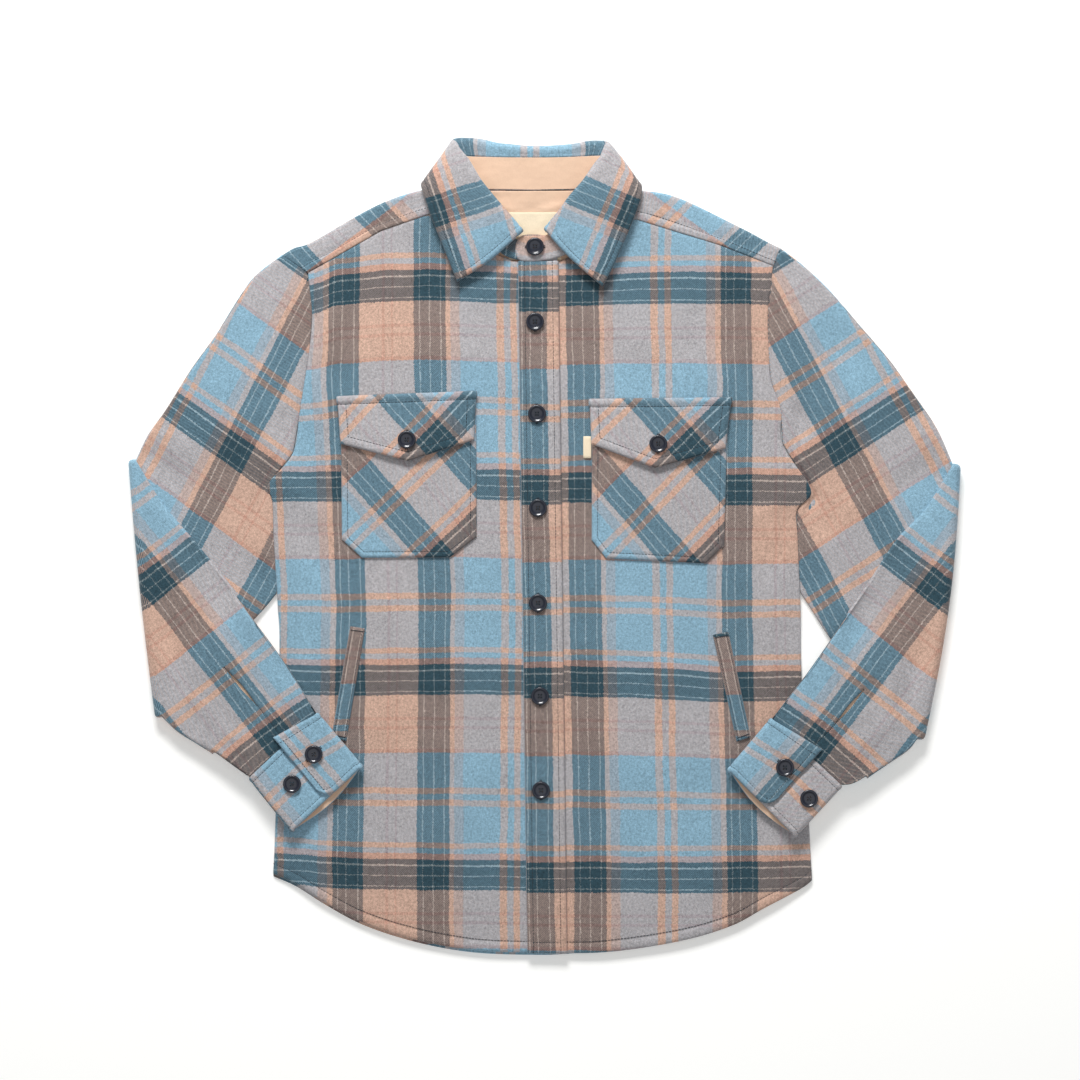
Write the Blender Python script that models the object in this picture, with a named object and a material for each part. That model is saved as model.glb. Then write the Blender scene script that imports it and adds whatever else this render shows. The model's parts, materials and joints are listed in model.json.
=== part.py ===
# Wool shirt jacket laid flat on its back, front up, both sleeves folded over at the elbow.
# Frame: +X to the photo's right, +Y towards the collar, +Z up from the table, origin under the middle
# of the whole outline. Wearer's right is at -X. Tables are in millimetres.
import math

import bmesh
import bpy
import numpy as np

for old in list(bpy.data.objects):
    bpy.data.objects.remove(old, do_unlink=True)

MM = 0.001

# Cloth
WOOL = 2.2            # brushed wool flannel, one ply
LEAF = 3.0            # collar leaf: two plies and interlining
STAND = 2.4           # collar stand
BAND = 3.4            # front placket, folded double
CUFF = 2.8            # cuff, wool and lining
FLAP = 2.8            # pocket flap, lined
TWILL = 1.0           # yoke lining
TAPE = 0.8            # labels
GAP = 0.3             # between pieces at a seam, and between one piece and the one it lies on

# Heights of the layers
FRONT_FLOOR = 4.7     # underside of the fronts in the middle of the body
SIDE_FLOOR = 2.5      # underside of the fronts at the side seams
SIDE_ROLL = 45.0      # width over which a front comes down to its side seam
COLLAR_LIFT = 3.3     # the back yoke lies on the collar's hidden leaf by this much
NECK_FLOOR = 7.4      # underside of the fronts beside the neck

# Body
COLLAR_X = -12.0          # middle of the collar, left of the origin
YOKE_SEAM_Y = 244.0       # back seam of the yoke
PLACKET_X = (-24.7, 14.3)     # placket edges at the neck
PLACKET_HEM_X = (-15.5, 23.0)  # placket edges at the hem
NECK_Y = 282.4            # neck edge of the fronts at the placket
BAND_EDGE_X = 12.6        # centre edge of the right front, under the placket

# Outline of the armhole and the side, from the yoke seam down to the hem: x, y
RIGHT_SIDE = [(-235.5, 272.0), (-231.5, 231.5), (-234.5, 192.5), (-243.5, 135.5), (-250.5, 91.5),
              (-275.0, 60.5), (-270.9, 43.5), (-269.5, 6.5), (-265.5, -62.5), (-263.9, -107.5),
              (-268.0, -276.5), (-270.1, -329.5)]
LEFT_SIDE = [(229.5, 279.0), (224.5, 231.5), (225.5, 191.5), (227.5, 163.5), (237.5, 135.5),
             (239.5, 99.5), (267.5, 54.5), (253.3, 34.5), (254.1, 6.5), (256.9, -65.5),
             (258.0, -130.5), (265.9, -287.5), (268.5, -336.5)]

# Shirt-tail hem from the right side to the left side: x, y
HEM = [(-270.1, -329.5), (-247.5, -339.5), (-219.0, -357.5), (-179.5, -378.5), (-126.5, -395.5),
       (-70.5, -405.5), (-5.5, -408.0), (63.5, -407.5), (136.5, -396.5), (187.5, -381.5),
       (221.0, -363.5), (257.5, -344.5), (268.5, -336.5)]
BACK_HEM_DROP = 2.6       # the back hem shows this far below the right front's

# Front seam of the yoke and the neckline, from the armhole to the placket: x, y
RIGHT_TOP = [(-235.5, 272.0), (-162.9, 313.6), (-113.8, 330.4), (-80.0, 337.5), (-64.0, 308.0),
             (-46.0, 290.0), (-30.0, 283.4), (BAND_EDGE_X, NECK_Y)]
LEFT_TOP = [(PLACKET_X[1] + GAP, NECK_Y), (28.0, 288.0), (42.0, 302.0), (59.0, 333.5),
            (89.1, 326.2), (176.1, 299.8), (229.5, 279.0)]

# Fold of the yoke along the shoulder, from the sleeve to the neck or from the neck to the sleeve:
# fold x, fold y, x of the point of the front seam that lies across from it
RIGHT_SHOULDER = [(-261.0, 290.0, -235.5), (-249.9, 296.5, -224.0), (-233.0, 302.0, -206.0),
                  (-190.9, 326.5, -162.9), (-157.5, 343.5, -138.0), (-121.5, 354.5, -113.8),
                  (-100.0, 353.5, -95.0), (-80.5, 352.0, -80.0)]
LEFT_SHOULDER = [(61.0, 350.0, 59.0), (80.0, 353.0, 74.0), (101.0, 353.5, 89.1), (136.5, 346.5, 118.0),
                 (198.5, 316.5, 176.1), (222.0, 304.0, 205.0), (236.5, 297.0, 229.5)]
BACK_NECK = [(-80.5, 352.0), (-60.0, 354.0), (-35.0, 354.0), (-10.8, 353.4), (15.0, 353.8),
             (40.0, 354.2), (61.0, 350.0)]

# Colours from the photo
PLAID = (0.165, 0.225, 0.265)
TAN = (0.72, 0.50, 0.34)
CREAM = (0.90, 0.78, 0.60)
NAVY = (0.010, 0.013, 0.028)


def smooth(value):
    """A soft step from 0 to 1."""
    value = np.clip(value, 0.0, 1.0)
    return value * value * (3.0 - 2.0 * value)


def collar_share(x, y):
    """How far a place lies over the collar's hidden leaf, from 0 to 1."""
    return smooth((y - 284.0) / 54.0) * smooth((162.0 - np.abs(x - COLLAR_X)) / 44.0)


def back_floor(x, y):
    """Underside of the back layer: flat on the table, raised over the collar's hidden leaf."""
    return COLLAR_LIFT * collar_share(x, y)


def side_x(side, y):
    """Where the armhole or side line lies at a height up the body."""
    line = np.array(sorted(side, key=lambda point: point[1]))
    return np.interp(y, line[:, 1], line[:, 0])


def front_floor(x, y):
    """Underside of the fronts: level, lower at the side seams, higher beside the neck."""
    right = 1.0 - smooth((x - side_x(RIGHT_SIDE, y)) / SIDE_ROLL)
    left = 1.0 - smooth((side_x(LEFT_SIDE, y) - x) / SIDE_ROLL)
    below_armpit = smooth((-45.0 - y) / 60.0)
    drop = (FRONT_FLOOR - SIDE_FLOOR) * below_armpit * (right + left)
    swell = 0.5 * np.sin(y / 58.0 + x / 95.0)
    return FRONT_FLOOR - drop + swell * smooth((250.0 - np.abs(x)) / 60.0) * smooth((240.0 - y) / 60.0) \
        + (NECK_FLOOR - FRONT_FLOOR) * collar_share(x, y)


def front_top(x, y):
    """Upper side of the fronts, on which pockets, welts and placket lie."""
    return front_floor(x, y) + WOOL


def even(count):
    """Fractions that cut a length into count equal cells."""
    return np.linspace(0.0, 1.0, count + 1)


def by_length(line, stops):
    """Points of a polyline at fractions of its length."""
    line = np.array(line, float)
    steps = np.concatenate([[0.0], np.cumsum(np.linalg.norm(np.diff(line, axis=0), axis=1))])
    return np.stack([np.interp(stops, steps / steps[-1], line[:, k]) for k in range(line.shape[1])], axis=1)


def filled(line, count):
    """The polyline's own points, with its longest stretches halved until it has count cells."""
    points = [np.array(point, float) for point in line]
    while len(points) <= count:
        spans = [np.linalg.norm(b - a) for a, b in zip(points, points[1:])]
        k = int(np.argmax(spans))
        points.insert(k + 1, (points[k] + points[k + 1]) / 2)
    return np.array(points)


def by_axis(line, axis, stops):
    """Points of a polyline at fractions of its reach along one axis."""
    line = np.array(line, float)
    reach = (line[:, axis] - line[0, axis]) / (line[-1, axis] - line[0, axis])
    return np.stack([np.interp(stops, reach, line[:, k]) for k in range(line.shape[1])], axis=1)


def curve(points, stops):
    """Points at fractions of the length of a smooth curve through the given ones."""
    points = np.array(points, float)
    ends = np.concatenate([[2 * points[0] - points[1]], points, [2 * points[-1] - points[-2]]])
    fine = []
    for a, b, c, d in zip(ends, ends[1:], ends[2:], ends[3:]):
        for t in np.linspace(0.0, 1.0, 12, endpoint=False):
            fine.append(0.5 * (2 * b + (c - a) * t + (2 * a - 5 * b + 4 * c - d) * t ** 2
                               + (3 * b - a - 3 * c + d) * t ** 3))
    return by_length(fine + [points[-1]], stops)


def patch(top, bottom, left, right):
    """Plan of a panel between four edges. Rows run from the top edge down, columns from left to right."""
    u = np.linspace(0.0, 1.0, len(top))[None, :, None]
    v = np.linspace(0.0, 1.0, len(left))[:, None, None]
    between = (1 - v) * top[None] + v * bottom[None] + (1 - u) * left[:, None] + u * right[:, None]
    corners = ((1 - u) * (1 - v) * top[0] + u * (1 - v) * top[-1]
               + (1 - u) * v * bottom[0] + u * v * bottom[-1])
    return between - corners


def cloth(name, colour, roughness):
    material = bpy.data.materials.new(name)
    material.use_nodes = True
    shader = material.node_tree.nodes["Principled BSDF"]
    shader.inputs["Base Color"].default_value = (*colour, 1.0)
    shader.inputs["Roughness"].default_value = roughness
    shader.inputs["Metallic"].default_value = 0.0
    return material


WOOL_CLOTH = cloth("plaid wool", PLAID, 0.95)
TAN_CLOTH = cloth("tan twill", TAN, 0.8)
CREAM_CLOTH = cloth("cream tape", CREAM, 0.8)
NAVY_PLASTIC = cloth("navy button", NAVY, 0.25)


def add_body(name, points, faces, material):
    """One closed body, its faces turned outwards."""
    shape = bmesh.new()
    corners = [shape.verts.new([value * MM for value in point]) for point in points]
    for face in faces:
        shape.faces.new([corners[k] for k in face])
    loose = [corner for corner in shape.verts if not corner.link_faces]
    bmesh.ops.delete(shape, geom=loose, context="VERTS")
    bmesh.ops.recalc_face_normals(shape, faces=shape.faces)
    mesh = bpy.data.meshes.new(name)
    shape.to_mesh(mesh)
    shape.free()
    mesh.shade_smooth()
    mesh.set_sharp_from_angle(angle=math.radians(40))
    body = bpy.data.objects.new(name, mesh)
    body.data.materials.append(material)
    bpy.context.collection.objects.link(body)
    return body


def wall(name, outer, inner, material, ring=False, keep=None):
    """A cloth wall between two grids of points, closed by rims at its edges. A ring joins its last
    column to its first. keep says which cells are cloth."""
    rows, columns = outer.shape[:2]
    across = columns if ring else columns - 1
    kept = np.ones((rows - 1, across), bool) if keep is None else keep

    def corner(side, i, j):
        return side * rows * columns + i * columns + j % columns

    def is_cloth(i, j):
        if ring:
            j %= across
        return 0 <= i < rows - 1 and 0 <= j < across and kept[i, j]

    faces = []
    for i in range(rows - 1):
        for j in range(across):
            if not kept[i, j]:
                continue
            loop = [(i, j), (i, j + 1), (i + 1, j + 1), (i + 1, j)]
            faces.append([corner(0, *place) for place in loop])
            faces.append([corner(1, *place) for place in reversed(loop)])
            beyond = [(i - 1, j), (i, j + 1), (i + 1, j), (i, j - 1)]
            for k, place in enumerate(beyond):
                if not is_cloth(*place):
                    a, b = loop[k], loop[(k + 1) % 4]
                    faces.append([corner(0, *b), corner(0, *a), corner(1, *a), corner(1, *b)])
    points = np.concatenate([outer.reshape(-1, 3), inner.reshape(-1, 3)])
    return add_body(name, points, faces, material)


def laid(name, plan, floor, thickness, material):
    """A flat piece that lies on a surface given by its floor."""
    low = floor(plan[..., 0], plan[..., 1])
    under = np.concatenate([plan, low[..., None]], axis=2)
    over = under + np.array([0.0, 0.0, 1.0]) * np.asarray(thickness)[..., None]
    return wall(name, over, under, material)


def sheet(name, middle, thickness, material, keep=None):
    """A curved piece, half its thickness to each side of the given middle surface."""
    normal = np.cross(np.gradient(middle, axis=1), np.gradient(middle, axis=0))
    normal /= np.maximum(np.linalg.norm(normal, axis=2), 1e-9)[..., None]
    return wall(name, middle + normal * thickness / 2, middle - normal * thickness / 2, material, keep=keep)


def make_body():
    """Back, fronts, and the placket that laps the right front."""
    rows, columns = 24, 12
    back_hem = np.array([(x, y - BACK_HEM_DROP * (1.0 - smooth(x / 40.0))) for x, y in HEM])
    sides = []
    for side in (RIGHT_SIDE, LEFT_SIDE):
        start = [(side_x(side, YOKE_SEAM_Y - GAP), YOKE_SEAM_Y - GAP)]
        sides.append(filled(start + [point for point in side if point[1] < YOKE_SEAM_Y - 5.0], rows))
    sides[0][-1] = back_hem[0]
    top = by_length([sides[0][0], sides[1][0]], even(columns))
    plan = patch(top, by_axis(back_hem, 0, even(columns)), *sides)
    laid("back_panel", plan, back_floor, WOOL, WOOL_CLOTH)

    def front(name, upper, left, right):
        top = filled(upper, 12)
        lower = [left[-1]] + [point for point in HEM if left[-1][0] < point[0] < right[-1][0]] + [right[-1]]
        stops = (top[:, 0] - top[0, 0]) / (top[-1, 0] - top[0, 0])
        plan = patch(top, by_axis(lower, 0, stops), filled(left, rows), filled(right, rows))
        laid(name, plan, front_floor, WOOL, WOOL_CLOTH)

    def on_hem(x):
        return (x, np.interp(x, *np.array(HEM).T))

    front("right_front", RIGHT_TOP, RIGHT_SIDE, [RIGHT_TOP[-1], on_hem(BAND_EDGE_X)])
    front("left_front", LEFT_TOP, [LEFT_TOP[0], on_hem(PLACKET_HEM_X[1] + GAP)], LEFT_SIDE)

    edges = [by_length([(top_x, NECK_Y), on_hem(hem_x)], even(rows))
             for top_x, hem_x in zip(PLACKET_X, PLACKET_HEM_X)]
    plan = np.stack([edges[0], (edges[0] + edges[1]) / 2, edges[1]], axis=1)
    laid("placket", plan, lambda x, y: front_top(x, y) + GAP, BAND, WOOL_CLOTH)


def make_yoke():
    """The yoke lies under the neck and comes over the shoulders to its seam on the fronts."""
    low_rows, roll_rows, high_rows = 7, 5, 2
    necks = [(x, y, None) for x, y in BACK_NECK[1:-1]]
    places = RIGHT_SHOULDER + necks + LEFT_SHOULDER
    last = len(places) - 1
    starts = np.linspace(side_x(RIGHT_SIDE, YOKE_SEAM_Y), side_x(LEFT_SIDE, YOKE_SEAM_Y), last + 1)
    armhole_bend = {0: (-235.2, 272.5), last: (229.2, 279.6)}
    columns = []
    for k, (fold_x, fold_y, seam_x) in enumerate(places):
        fold, start = np.array([fold_x, fold_y]), np.array([starts[k], YOKE_SEAM_Y])
        seam = fold
        if seam_x is not None:
            seam_line = np.array(RIGHT_TOP if seam_x < COLLAR_X else LEFT_TOP)
            seam = np.array([seam_x, np.interp(seam_x, *seam_line.T) + GAP * 1.3])
        low_z, high_z = back_floor(*fold) + WOOL / 2, front_floor(*fold) + WOOL / 2
        radius = (high_z - low_z) / 2
        inward = (seam - fold) / max(np.linalg.norm(seam - fold), 1.0)
        centre = fold + inward * (radius + WOOL / 2)
        line = filled([start, armhole_bend.get(k, (start + centre) / 2), centre], low_rows)
        points = [(*place, back_floor(*place) + WOOL / 2) for place in line]
        for angle in np.linspace(0.0, math.pi, roll_rows + 1)[1:]:
            place = centre - inward * radius * math.sin(angle)
            points.append((*place, low_z + radius * (1.0 - math.cos(angle))))
        for place in np.linspace(centre, seam, high_rows + 1)[1:]:
            points.append((*place, front_floor(*place) + WOOL / 2))
        columns.append(points)
    middle = np.array(columns).transpose(1, 0, 2)
    keep = np.ones((middle.shape[0] - 1, middle.shape[1] - 1), bool)
    keep[low_rows:, len(RIGHT_SHOULDER) - 1:-len(LEFT_SHOULDER) + 1] = False
    sheet("back_yoke", middle, WOOL, WOOL_CLOTH, keep)

    neck = by_length([(-72.0, 351.0), (-60.0, 353.0), (40.0, 353.2), (52.0, 349.0)], even(8))
    foot = by_length([(-60.0, 262.0), (44.0, 262.0)], even(8))
    left, right = np.linspace(neck[0], foot[0], 11), np.linspace(neck[-1], foot[-1], 11)
    on_yoke = WOOL + GAP
    laid("yoke_lining", patch(neck, foot, left, right), lambda x, y: back_floor(x, y) + on_yoke,
         TWILL, TAN_CLOTH)
    plan = np.stack(np.meshgrid(np.linspace(-34.5, 17.5, 3), np.linspace(331.9, 285.5, 6)), axis=2)
    laid("neck_label", plan, lambda x, y: back_floor(x, y) + on_yoke + TWILL + GAP, TAPE, CREAM_CLOTH)


# Collar stand, from its hidden end under the tab round the neck to the tab: foot x, y, z, top x, y, z.
# The leaf is sewn to the stations between the two ends.
STAND_ENDS_BEFORE = [(13.0, 284.6, 6.9, 13.0, 306.0, 7.9), (-12.0, 284.6, 6.9, -12.0, 307.0, 7.9)]
STAND_ROWS = [
    (-32.0, 286.8, 8.4, -28.5, 305.0, 10.2),
    (-46.0, 295.0, 9.9, -39.5, 323.0, 13.0),
    (-62.0, 312.0, 10.8, -53.5, 340.0, 15.0),
    (-74.5, 334.0, 11.6, -67.5, 358.5, 16.5),
    (-80.0, 348.0, 11.6, -80.0, 380.0, 15.5),
    (-80.5, 354.6, 9.8, -85.5, 386.0, 12.0),
    (-77.0, 356.2, 7.2, -87.0, 389.4, 8.4),
    (-70.0, 355.9, 5.9, -80.0, 388.6, 6.0),
    (-58.0, 355.7, 5.4, -67.0, 388.0, 5.1),
    (-38.0, 355.6, 5.4, -44.0, 387.4, 5.0),
    (-10.8, 355.1, 5.4, -10.8, 387.1, 5.0),
    (16.0, 355.5, 5.4, 22.0, 387.6, 5.0),
    (34.0, 355.9, 5.4, 42.0, 388.4, 5.1),
    (46.0, 355.9, 5.9, 54.0, 388.8, 6.0),
    (55.0, 355.2, 7.2, 60.5, 388.4, 8.4),
    (60.5, 352.6, 9.8, 59.5, 383.5, 12.0),
    (60.5, 345.0, 11.6, 54.5, 375.0, 15.5),
    (55.0, 330.0, 11.6, 44.0, 357.5, 16.5),
    (42.0, 309.0, 10.8, 31.0, 342.5, 15.0),
    (26.0, 293.0, 10.2, 17.5, 325.5, 13.4),
    (9.0, 286.0, 10.0, 5.0, 309.5, 11.2),
]
STAND_ENDS_AFTER = [(-6.0, 283.6, 9.9, -6.0, 309.0, 11.0), (-19.0, 283.4, 9.8, -19.0, 308.6, 10.9),
                    (-25.0, 285.6, 9.9, -25.0, 305.6, 10.8), (-27.3, 289.5, 10.1, -27.3, 301.5, 10.7)]

# Collar leaf at the same stations: roll line x, y, z, middle x, y, z, free edge x, y, z, and which
# side of the roll the leaf lies on, 1 over the front, -1 under the back
LEAF_ROWS = [
    (-20.8, 313.0, 15.0, -53.0, 284.5, 16.6, -86.0, 263.0, 15.0, 1.0),
    (-35.5, 328.5, 17.5, -64.0, 305.5, 19.5, -93.0, 280.5, 15.8, 1.0),
    (-49.5, 344.5, 19.5, -75.5, 324.0, 20.5, -101.5, 301.5, 16.5, 1.0),
    (-63.5, 362.5, 21.0, -88.0, 344.5, 21.5, -111.8, 327.5, 17.0, 1.0),
    (-77.5, 386.0, 20.0, -99.0, 365.5, 20.0, -118.5, 347.5, 16.0, 1.0),
    (-87.2, 400.0, 16.0, -104.5, 378.0, 15.5, -121.5, 356.0, 12.6, 0.8),
    (-89.8, 404.6, 10.0, -105.2, 383.2, 8.0, -121.6, 359.4, 7.2, 0.0),
    (-84.5, 405.3, 5.4, -101.5, 379.0, 2.2, -117.0, 357.5, 1.5, -0.8),
    (-68.5, 405.4, 4.2, -75.0, 370.0, 1.5, -88.0, 343.0, 1.5, -1.0),
    (-44.0, 400.8, 4.0, -46.0, 367.0, 1.5, -50.0, 338.0, 1.5, -1.0),
    (-10.8, 397.3, 4.0, -10.8, 366.0, 1.5, -10.8, 336.5, 1.5, -1.0),
    (22.3, 399.0, 4.0, 23.5, 367.0, 1.5, 27.0, 338.0, 1.5, -1.0),
    (42.2, 402.2, 4.2, 51.0, 370.0, 1.5, 63.0, 343.0, 1.5, -1.0),
    (57.5, 402.8, 5.4, 75.5, 379.0, 2.2, 92.0, 357.0, 1.5, -0.8),
    (63.2, 402.4, 10.0, 79.8, 382.2, 8.0, 97.0, 358.5, 7.2, 0.0),
    (60.9, 394.5, 16.0, 79.5, 374.0, 15.5, 98.0, 353.5, 12.6, 0.8),
    (52.5, 379.5, 20.0, 74.5, 360.5, 20.0, 96.0, 343.0, 16.0, 1.0),
    (40.5, 361.5, 21.0, 64.5, 341.5, 21.5, 88.0, 321.5, 17.0, 1.0),
    (27.5, 346.5, 19.5, 52.5, 322.0, 20.5, 77.8, 297.5, 16.5, 1.0),
    (14.0, 330.0, 17.5, 40.0, 302.0, 19.5, 67.5, 274.5, 15.8, 1.0),
    (1.0, 314.5, 15.0, 26.0, 287.0, 16.6, 58.5, 258.6, 15.0, 1.0),
]
ROLL_DEPTH = 2.5      # from the roll line to the ply past it
LEAF_GAP = 0.9        # between the stand's top and the leaf, whose edges turn against each other
LEAF_STOPS = (0.0, 0.02, 0.05, 0.085, 0.12, 0.16, 0.21, 0.28, 0.40, 0.55, 0.70, 0.85, 1.0)


def make_collar():
    """Stand sewn to the neck, and the leaf sewn to the stand's top and rolled over it."""
    rows = np.array(STAND_ENDS_BEFORE + STAND_ROWS + STAND_ENDS_AFTER)
    foot, top = rows[:, :3], rows[:, 3:]
    middle = np.stack([foot, foot * 0.5 + top * 0.5, top], axis=1)
    sheet("collar_stand", middle, STAND, WOOL_CLOTH)

    sections = []
    for stand, leaf in zip(np.array(STAND_ROWS), np.array(LEAF_ROWS)):
        foot, top, roll, mid, edge, side = stand[:3], stand[3:], leaf[:3], leaf[3:6], leaf[6:9], leaf[9]
        up = (top - foot) / np.linalg.norm(top - foot)
        out = (mid - roll) * (1.0, 1.0, 0.0)
        out /= np.linalg.norm(out)
        start = top + up * LEAF_GAP
        before = roll + out * ROLL_DEPTH - np.array([0.0, 0.0, side * ROLL_DEPTH])
        past = roll + out * ROLL_DEPTH + np.array([0.0, 0.0, side * ROLL_DEPTH])
        section = curve([start, start + up * 2.0, before, roll, past, mid, edge], LEAF_STOPS)
        section[:, 2] = np.maximum(section[:, 2], LEAF / 2)
        sections.append(section)
    sheet("collar_leaf", np.array(sections), LEAF, WOOL_CLOTH)


# Sleeves
TUBE = 3.45           # half the height of a sleeve pressed flat
TUCK = 1.05           # how much of that half is lost where the body's side presses on the sleeve
BEND = 4.0            # radius of the elbow fold at the middle of the flat sleeve
ARM_COLUMNS = 11      # cells across a sleeve
ROUND_CELLS = 3       # cells round each of its edges

# Where the sleeves meet the body, from the shoulder down the armhole and the side: x, y
RIGHT_ARMHOLE = [(-262.0, 290.0), (-236.6, 271.4), (-232.1, 231.5), (-235.1, 192.5), (-244.1, 135.5),
                 (-251.2, 91.2), (-276.0, 60.3), (-271.6, 43.5), (-270.2, 6.5), (-266.9, -50.0)]
LEFT_ARMHOLE = [(237.6, 296.8), (230.4, 278.8), (225.1, 231.5), (226.1, 191.5), (228.3, 163.4),
                (238.3, 135.3), (240.3, 99.7), (268.9, 54.3), (254.2, 34.0), (254.8, 6.5), (257.5, -50.0)]

# Upper arm from the armhole to the elbow: outer edge x, y, underarm edge x, y, share of the armhole's
# bow, and share of the tuck
RIGHT_ARM = [(-262.0, 290.0, -266.9, -50.0, 1.0, 1.0), (-288.5, 269.5, -276.0, -61.0, 0.62, 0.8),
             (-303.5, 249.5, -287.5, -73.5, 0.36, 0.5), (-328.5, 209.5, -307.0, -93.5, 0.14, 0.2),
             (-353.5, 174.5, -328.0, -114.0, 0.0, 0.0), (-378.5, 134.5, -350.0, -136.0, 0.0, 0.0),
             (-396.0, 110.0, -367.0, -152.5, 0.0, 0.0)]
LEFT_ARM = [(237.6, 296.8, 257.5, -50.0, 1.0, 1.0), (260.0, 279.5, 267.5, -65.0, 0.62, 0.8),
            (286.5, 254.5, 277.0, -80.0, 0.36, 0.5), (316.5, 219.5, 290.0, -98.5, 0.14, 0.2),
            (346.5, 184.5, 310.0, -120.0, 0.0, 0.0), (371.5, 149.5, 334.0, -145.5, 0.0, 0.0),
            (394.0, 116.0, 356.0, -169.0, 0.0, 0.0)]
# Ends of the elbow fold, outer x, y and underarm x, y, and how far it bows outwards between them
RIGHT_ELBOW, RIGHT_ELBOW_BOW = (-415.5, 84.5, -388.5, -173.5), 2.0
LEFT_ELBOW, LEFT_ELBOW_BOW = (417.5, 80.0, 381.0, -196.0), 7.0
# Forearm from the elbow to the cuff: outer edge x, y, underarm edge x, y, height of its middle
RIGHT_FOREARM = [(-382.0, 43.0, -366.0, -187.0, 11.5), (-350.0, 5.0, -350.0, -197.0, 11.7),
                 (-318.0, -34.0, -334.0, -207.0, 12.4), (-288.0, -74.0, -319.0, -217.0, 13.4),
                 (-256.0, -118.0, -306.0, -226.0, 14.3), (-225.7, -166.8, -294.7, -233.2, 14.8)]
LEFT_FOREARM = [(382.0, 36.0, 364.0, -206.0, 11.5), (352.5, 4.5, 345.0, -219.0, 11.7),
                (322.0, -42.0, 330.0, -229.0, 12.4), (292.0, -84.0, 318.0, -237.0, 13.4),
                (261.0, -128.0, 308.0, -241.0, 14.3), (227.1, -172.2, 298.7, -241.2, 14.8)]
SAG = 5.0             # how far the forearm sinks where only the table is under it
UNDERARM_LINES = {-1: (-287.5, -73.5, -388.5, -173.5), 1: (285.5, -93.5, 381.0, -196.0)}


def sag(x, y, side):
    """How far a forearm or cuff sinks past the upper arm's edge and short of the body's side."""
    ax, ay, bx, by = UNDERARM_LINES[side]
    length = math.hypot(bx - ax, by - ay)
    past_arm = -side * ((x - ax) * (by - ay) - (y - ay) * (bx - ax)) / length
    off_body = np.abs(x) - 272.0
    return SAG * smooth((past_arm - 8.0) / 40.0) * smooth(off_body / 30.0)


def make_sleeve(name, side, arm, armhole, elbow, bow, forearm):
    """A tube pressed flat: front ply up on the upper arm, turned over at the elbow, back ply up past it."""
    across = even(ARM_COLUMNS)
    elbow_outer, elbow_under = np.array(elbow[:2]), np.array(elbow[2:])
    along_fold = (elbow_under - elbow_outer) / np.linalg.norm(elbow_under - elbow_outer)
    outward = np.array([along_fold[1], -along_fold[0]])
    outward *= side * np.sign(outward[0])
    up = np.array([0.0, 0.0, 1.0])

    def plan_line(outer, under, bow=0.0):
        """Middle line of a section, short of its two round edges by half the tube's height."""
        line = np.linspace(outer, under, ARM_COLUMNS + 1) + bow
        line[0] += TUBE * (line[1] - line[0]) / np.linalg.norm(line[1] - line[0])
        line[-1] += TUBE * (line[-2] - line[-1]) / np.linalg.norm(line[-2] - line[-1])
        return line

    sections = []
    hole = filled(armhole, ARM_COLUMNS)
    armhole_bow = hole - np.linspace(hole[0], hole[-1], ARM_COLUMNS + 1)
    for outer_x, outer_y, under_x, under_y, bow_share, tuck_share in arm:
        plan = plan_line((outer_x, outer_y), (under_x, under_y), bow_share * armhole_bow)
        half = TUBE - TUCK * tuck_share * smooth((92.0 - plan[:, 1]) / 36.0)
        sections.append((np.column_stack([plan, half]), up, half))
    axis_inset = (BEND + TUBE) * outward
    fold = plan_line(elbow_outer - axis_inset, elbow_under - axis_inset)
    bulge = bow * np.sin(across * math.pi)[:, None] * outward
    half = np.full(ARM_COLUMNS + 1, TUBE)
    for angle in np.linspace(0.0, math.pi, 8):
        shift = outward * BEND * math.sin(angle) + bulge
        height = TUBE + BEND * (1.0 - math.cos(angle))
        normal = np.array([*(-outward * math.sin(angle)), math.cos(angle)])
        sections.append((np.column_stack([fold + shift, np.full(len(fold), height)]), normal, half))
    for outer_x, outer_y, under_x, under_y, height in forearm:
        plan = plan_line((outer_x, outer_y), (under_x, under_y))
        heights = height - sag(plan[:, 0], plan[:, 1], side)
        sections.append((np.column_stack([plan, heights]), -up, half))

    def ring(centres, normal, half, depth):
        """Points once round a section, at a depth inside its outer face."""
        radius = (half - depth)[:, None]
        turn = np.linspace(0.0, math.pi, ROUND_CELLS + 1)[1:-1, None]

        def end(k, neighbour, sign):
            direction = centres[k] - centres[neighbour]
            direction /= np.linalg.norm(direction)
            return centres[k] + radius[k] * (direction * np.sin(turn) + sign * normal * np.cos(turn))

        return np.concatenate([centres + normal * radius, end(-1, -2, 1),
                               (centres - normal * radius)[::-1], end(0, 1, -1)])

    outer = np.array([ring(*section, 0.0) for section in sections])
    inner = np.array([ring(*section, WOOL) for section in sections])
    wall(name, outer, inner, WOOL_CLOTH, ring=True)


# Cuffs: seam corners and mouth corners, upper then lower edge, x, y, and the share of the width at
# which the buttonhole end laps the button end
RIGHT_CUFF = ((-225.5, -167.1), (-294.5, -233.5), (-180.7, -220.2), (-252.5, -286.5), 0.52)
LEFT_CUFF = ((226.9, -172.5), (298.5, -241.5), (184.0, -223.4), (252.1, -291.5), 0.59)
CUFF_HEIGHT = 15.0    # height of the cuff's middle
CUFF_HALF = 3.2       # from its middle to the middle of each ply
CUFF_LAP = 24.0       # how far the button end runs on under the buttonhole end
CUFF_STEP = 6.0       # from the buttonhole end to where the button end starts to dip under it
CUFF_DIP = 1.2        # and how far it has come down there
CUFF_CORNER = 12.0    # round corner of the buttonhole end
CUFF_LOWER_LIP = 6.0  # how far the lower ply's mouth shows past the upper one


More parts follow.
